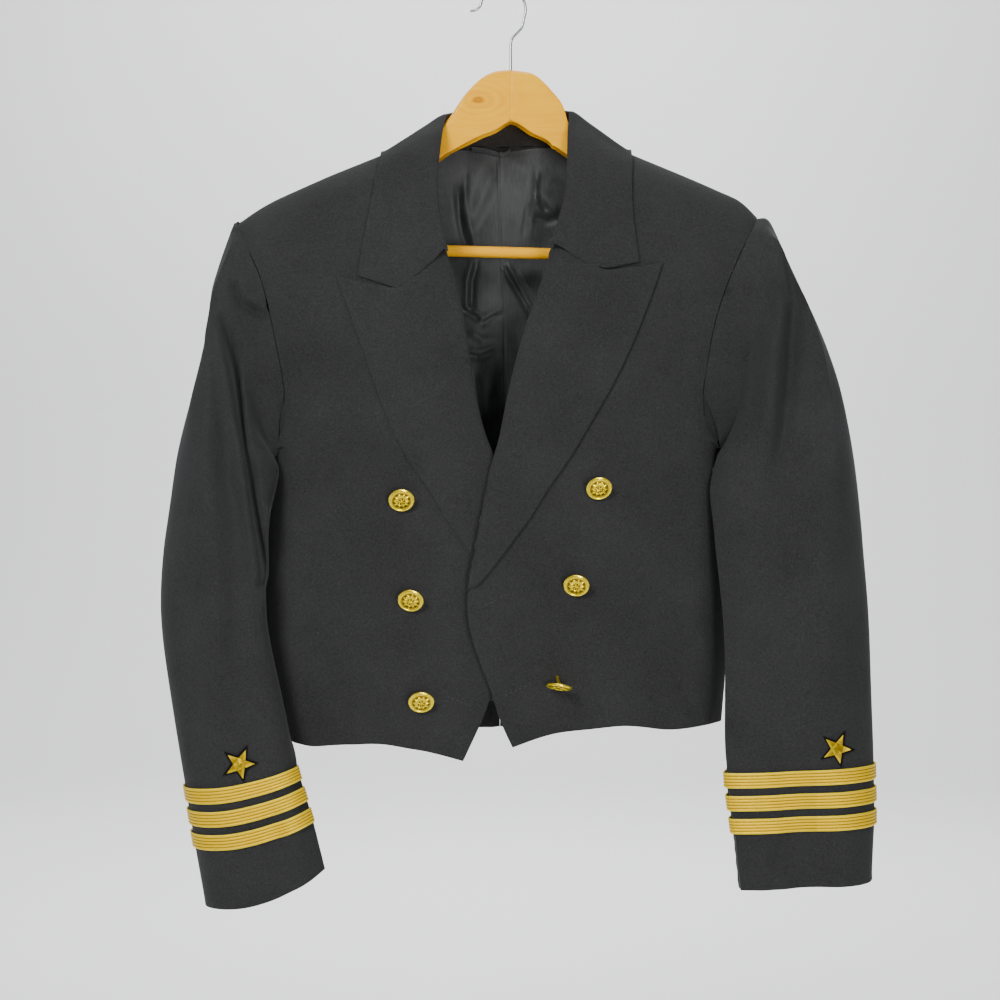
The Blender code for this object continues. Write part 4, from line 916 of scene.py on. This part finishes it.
def buttonRelief(radius, angle):
    # a rosette of leaves inside a ring of rope, as height in mm; generic
    height = 0.0
    rope = math.exp(-(((radius - 8.5) / 0.5) ** 2))
    height += rope * (0.42 + 0.16 * math.sin(36 * angle))
    for count, low, high, lift, turn in ((10, 3.6, 7.7, 0.62, 0.0), (10, 2.6, 6.2, 0.45, math.pi / 10), (6, 0.9, 3.4, 0.62, 0.3)):
        step = 2 * math.pi / count
        off = (angle + turn + step / 2) % step - step / 2
        along = (radius - low) / (high - low)
        if 0 < along < 1:
            width = math.sin(math.pi * along**0.8) * (high - low) * 0.24
            across = radius * math.sin(off) / max(width, 0.05)
            if abs(across) < 1:
                leaf = lift * math.sqrt(1 - across * across)
                vein = 0.16 * math.exp(-((across / 0.16) ** 2)) + 0.05 * math.sin(along * 26)
                height = max(height, leaf - vein)
    height += 0.55 * math.exp(-((radius / 1.0) ** 2))
    return height


def makeButtonMesh():
    # the button on its own axis, plate at the origin, face up
    shape = buttonShape
    outline = list(shape["profile"])
    base, rise = shape["dome"]
    for i in range(1, shape["rings"]):
        radius = 9.3 * (1 - i / shape["rings"])
        outline.append((radius, base + rise * (1 - (radius / 9.3) ** 2)))
    outline.append((0, base + rise))
    bpy.ops.mesh.primitive_plane_add()
    button = bpy.context.object
    bpy.ops.object.mode_set(mode="EDIT")
    bpy.ops.mesh.delete(type="VERT")
    bpy.ops.object.mode_set(mode="OBJECT")
    work = bmesh.new()
    verts = [work.verts.new((r * mm, 0, (h - shape["foot"]) * mm)) for r, h in outline]
    for a, b in zip(verts, verts[1:]):
        work.edges.new((a, b))
    work.to_mesh(button.data)
    work.free()
    pick(button)
    bpy.ops.object.mode_set(mode="EDIT")
    bpy.ops.mesh.select_all(action="SELECT")
    bpy.ops.mesh.spin(steps=shape["steps"], angle=2 * math.pi, center=(0, 0, 0), axis=(0, 0, 1))
    bpy.ops.mesh.select_all(action="SELECT")
    bpy.ops.mesh.remove_doubles(threshold=0.00001)
    bpy.ops.mesh.normals_make_consistent(inside=False)
    bpy.ops.object.mode_set(mode="OBJECT")
    relief = button.data.attributes.new("relief", "FLOAT", "POINT")
    for vert in button.data.vertices:
        x, y, z = vert.co / mm
        radius, angle = math.hypot(x, y), math.atan2(y, x)
        height = 0.75
        if z > 1.0 and radius < 9.35:
            height = buttonRelief(radius, angle)
            vert.co.z += (height - 0.35) * mm
        # this value is painted as shade by the gilt: low in the hollows, full on the raised parts and the plate
        relief.data[vert.index].value = min(1.0, height / 0.62)
    return button


def addShank(button, foot):
    # a waisted stem from the plate to the cloth, as part of the same mesh
    work = bmesh.new()
    work.from_mesh(button.data)
    level = work.verts.layers.float.get("relief")
    start = Vector((0, 0, 0.0003))
    route = [start.lerp(foot, t) for t in (0, 0.35, 0.7, 1.0)]
    rings = []
    axis = (foot - start).normalized()
    side = axis.cross(Vector((1, 0.2, 0))).normalized()
    other = axis.cross(side)
    for t, radius in zip(route, (2.4, 1.6, 1.3, 1.5)):
        ring = []
        for i in range(14):
            turn = 2 * math.pi * i / 14
            vert = work.verts.new(t + (side * math.cos(turn) + other * math.sin(turn)) * radius * mm)
            # painted shade: the shank under the button gets a low value, so the gilt paints it darker
            vert[level] = 0.35
            ring.append(vert)
        rings.append(ring)
    for a, b in zip(rings, rings[1:]):
        for i in range(14):
            j = (i + 1) % 14
            work.faces.new((a[i], a[j], b[j], b[i]))
    work.faces.new(rings[0][::-1])
    work.faces.new(rings[-1])
    bmesh.ops.recalc_face_normals(work, faces=[f for f in work.faces if f.verts[0] in set(sum(rings, []))])
    work.to_mesh(button.data)
    work.free()


def shapeButtons(gilt):
    pattern = makeButtonMesh()
    for node, tilt, roll, turn in buttonPlaces:
        lean, swing = math.radians(tilt), math.radians(roll)
        axis = Vector((math.sin(swing), -math.cos(lean), -math.sin(lean))).normalized()
        points = np.array([v.co for v in nodes[node].data.vertices])
        heights = points @ np.array(axis)
        top = heights.max()
        rim = points[np.abs(heights - (top - 0.0024)) < 0.0002]
        seen = np.unique(np.round(rim, 6), axis=0)
        centre = Vector(seen.mean(axis=0)) - axis * 0.0016
        feet = np.unique(np.round(points[heights < top - 0.0045], 6), axis=0)
        foot = Vector(feet.mean(axis=0))
        button = newPiece(node.replace("button_", "gilt").replace("_", ""), pattern.data.copy())
        spin = axis.to_track_quat("Z", "Y").to_matrix().to_4x4()
        local = spin.inverted() @ (foot - centre)
        addShank(button, local)
        pick(button)
        bpy.ops.transform.rotate(value=math.radians(turn), orient_axis="Z", center_override=(0, 0, 0))
        button.data.transform(spin)
        button.data.transform(spin.Translation(centre))
        button.location = (0, 0, 0)
        button.rotation_euler = (0, 0, 0)
        finishPiece(button, gilt, "gilt_brass", node, smooth=35)
    bpy.data.objects.remove(pattern)


hookRoute = {
    "stem": ((9.6, -74), (9.6, -60), (9.6, -50.3), (10.7, -45), (15, -40), (19.5, -34.5)),
    "loop": (2.5, -19.1, 20.3), "tail": ((-20.5, -18.8), (-26.7, -20.5)), "radius": 1.2,
}


# in m: where the arms meet, the underside's peak, and its run and fall on the wearer's left and right
armShape = {
    "join": 0.0096, "joinReach": 0.0011, "peak": (0.0092, -0.118), "runs": (0.0513, 0.064), "falls": (0.030, 0.0345),
    "lift": 0.0042, "fade": (0.013, 0.001), "rim": 0.0006,
}


def straightenArm(piece):
    # flattens the joint, and straightens the underside on both sides of the peak
    shape = armShape
    points = readPoints(piece)
    points[np.abs(points[:, 0] - shape["join"]) < shape["joinReach"], 0] = shape["join"]
    middle, top = shape["peak"]
    away = points[:, 0] - middle
    share = np.clip(np.where(away > 0, away / shape["runs"][0], -away / shape["runs"][1]), 0, 1)
    line = top - np.where(away > 0, *shape["falls"]) * share
    near = ramp(*shape["fade"], points[:, 2] - line)
    points[:, 2] += shape["lift"] * np.sin(math.pi * share) ** 0.8 * near
    writePoints(piece, points)


def shapeHanger(wood, chrome):
    arms = {"hanger_arm_right": "armRight", "hanger_arm_left": "armLeft", "hanger_bar": "trouserBar"}
    for node, name in arms.items():
        piece = copyNode(node, name)
        creaseRims(piece, 50, 40)
        smoothOut(piece, 2)
        if name != "trouserBar":
            straightenArm(piece)
        softenRims(piece, armShape["rim"], 38)
        finishPiece(piece, wood, "varnished_wood", node, smooth=35)
    x, z, radius = hookRoute["loop"]
    route = list(hookRoute["stem"])
    for degrees in range(-20, 171, 10):
        route.append((x + radius * math.cos(math.radians(degrees)), z + radius * math.sin(math.radians(degrees))))
    route += hookRoute["tail"]
    curve = bpy.data.curves.new("hangerHook", "CURVE")
    curve.dimensions = "3D"
    curve.bevel_depth = hookRoute["radius"] * mm
    curve.bevel_resolution = 4
    curve.resolution_u = 6
    curve.use_fill_caps = True
    line = curve.splines.new("BEZIER")
    line.bezier_points.add(len(route) - 1)
    for point, (across, up) in zip(line.bezier_points, route):
        point.co = (across * mm, 0, up * mm)
        point.handle_left_type = point.handle_right_type = "AUTO"
    hook = bpy.data.objects.new("hookWire", curve)
    bpy.context.scene.collection.objects.link(hook)
    pick(hook)
    bpy.ops.object.convert(target="MESH")
    softenRims(bpy.context.object, 0.0004, 60)
    finishPiece(bpy.context.object, chrome, "chromed_wire", "hanger_hook", smooth=60)


# rows of tacking stitches on the fronts: start and end in mm, stitches
threadMarks = (
    ((-46, -624), (-24, -633), 6),
    ((3, -623), (28, -612), 6),
    ((-14, -546), (7, -535), 5),
)


def shapeThreads(made, thread):
    trees = [BVHTree.FromObject(made[n], bpy.context.evaluated_depsgraph_get()) for n in ("frontRight", "frontLeft")]
    work = bmesh.new()
    for start, end, count in threadMarks:
        for i in range(count):
            t = (i + 0.5) / count
            x = (start[0] + (end[0] - start[0]) * t) * mm
            z = (start[1] + (end[1] - start[1]) * t) * mm
            way = Vector((end[0] - start[0], 0, end[1] - start[1])).normalized()
            hits = [tree.ray_cast(Vector((x, -0.3, z)), Vector((0, 1, 0)))[0] for tree in trees]
            hits = [h for h in hits if h]
            if not hits:
                continue
            spot = min(hits, key=lambda h: h.y)
            ball = bmesh.ops.create_icosphere(work, subdivisions=2, radius=0.00024)
            for vert in ball["verts"]:
                stretch = vert.co.dot(way)
                vert.co = spot + vert.co + way * stretch * (3.4 + 0.8 * math.sin(i * 2.1))
    mesh = bpy.data.meshes.new("threadMarks")
    work.to_mesh(mesh)
    work.free()
    finishPiece(newPiece("threadMarks", mesh), thread, "black_wool")


studio = {
    "camera": (0, -1.56, -0.455), "fieldWidth": 0.855, "fieldDistance": 1.5, "floor": -1.25,
    "sweep": {"from": 3.4, "radius": 1.2}, "world": 0.24,
    "lamps": {
        "keySoft": {"place": (-1.0, -2.0, 0.7), "aim": (0, 0, -0.45), "size": 0.8, "power": 50},
        "fillSoft": {"place": (0.7, -2.5, -0.62), "aim": (0, 0, -0.45), "size": 0.7, "power": 34},
        "topSoft": {"place": (0.1, -0.3, 1.3), "aim": (0, 0, -0.4), "size": 1.2, "power": 10},
        "backSoft": {"place": (0.3, 2.2, 0.9), "aim": (0, 0, -0.4), "size": 1.6, "power": 26},
        "wallSoft": {"place": (0, 1.6, 2.2), "aim": (0, 4.6, -0.4), "size": 3.0, "power": 260},
    },
}


def setStudio():
    # a pale floor that curves up far behind the jacket
    bpy.ops.mesh.primitive_grid_add(x_subdivisions=2, y_subdivisions=120, size=24, location=(0, 0, studio["floor"]))
    floor = bpy.context.object
    floor.name = "floor"
    bpy.ops.object.transform_apply(location=True)
    points = readPoints(floor)
    start, radius = studio["sweep"]["from"], studio["sweep"]["radius"]
    past = np.maximum(points[:, 1] - start, 0)
    turn = np.minimum(past / radius, math.pi / 2)
    points[:, 1] = np.minimum(points[:, 1], start) + radius * np.sin(turn)
    points[:, 2] += radius * (1 - np.cos(turn)) + np.maximum(past - radius * math.pi / 2, 0)
    writePoints(floor, points)
    pick(floor)
    bpy.ops.object.shade_smooth()
    floor.data.materials.append(makeFloorFinish())
    for name, lamp in studio["lamps"].items():
        light = bpy.data.lights.new(name, "AREA")
        light.size = lamp["size"]
        light.energy = lamp["power"]
        holder = bpy.data.objects.new(name, light)
        holder.location = lamp["place"]
        holder.rotation_euler = (Vector(lamp["aim"]) - Vector(lamp["place"])).to_track_quat("-Z", "Y").to_euler()
        holder.visible_camera = False
        bpy.context.scene.collection.objects.link(holder)
    world = bpy.data.worlds.new("studio")
    world.use_nodes = True
    world.node_tree.nodes["Background"].inputs["Color"].default_value = (0.80, 0.81, 0.82, 1)
    world.node_tree.nodes["Background"].inputs["Strength"].default_value = studio["world"]
    bpy.context.scene.world = world
    lens = bpy.data.cameras.new("camera")
    lens.sensor_width = 36
    lens.sensor_fit = "HORIZONTAL"
    lens.lens = 36 * studio["fieldDistance"] / studio["fieldWidth"]
    camera = bpy.data.objects.new("camera", lens)
    camera.location = studio["camera"]
    camera.rotation_euler = (math.radians(90), 0, 0)
    bpy.context.scene.collection.objects.link(camera)
    bpy.context.scene.camera = camera


def main():
    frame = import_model()
    nodes.update(frame["nodes"])
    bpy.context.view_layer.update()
    bpy.ops.object.select_all(action="DESELECT")
    print("frame loaded")
    setStudio()
    made = shapeCloth(makeWool(), makeFelt())
    satin = makeSatin()
    shapeLining(satin)
    print("lining done")
    gold, starGold = makeLace(), makeStarGold()
    for side in ("right", "left"):
        for number in (1, 2, 3):
            shapeLace(side, number, gold)
        shapeStar(side, starGold)
    print("lace and stars done")
    shapeButtons(makeGilt())
    print("buttons done")
    shapeHanger(makeWood(), makeChrome())
    print("hanger done")
    shapeThreads(made, makeThread())
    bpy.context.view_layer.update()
    triangles = sum(len(face.vertices) - 2 for piece in pieces.values() for face in piece.data.polygons)
    print("triangles in all:", triangles)


main()
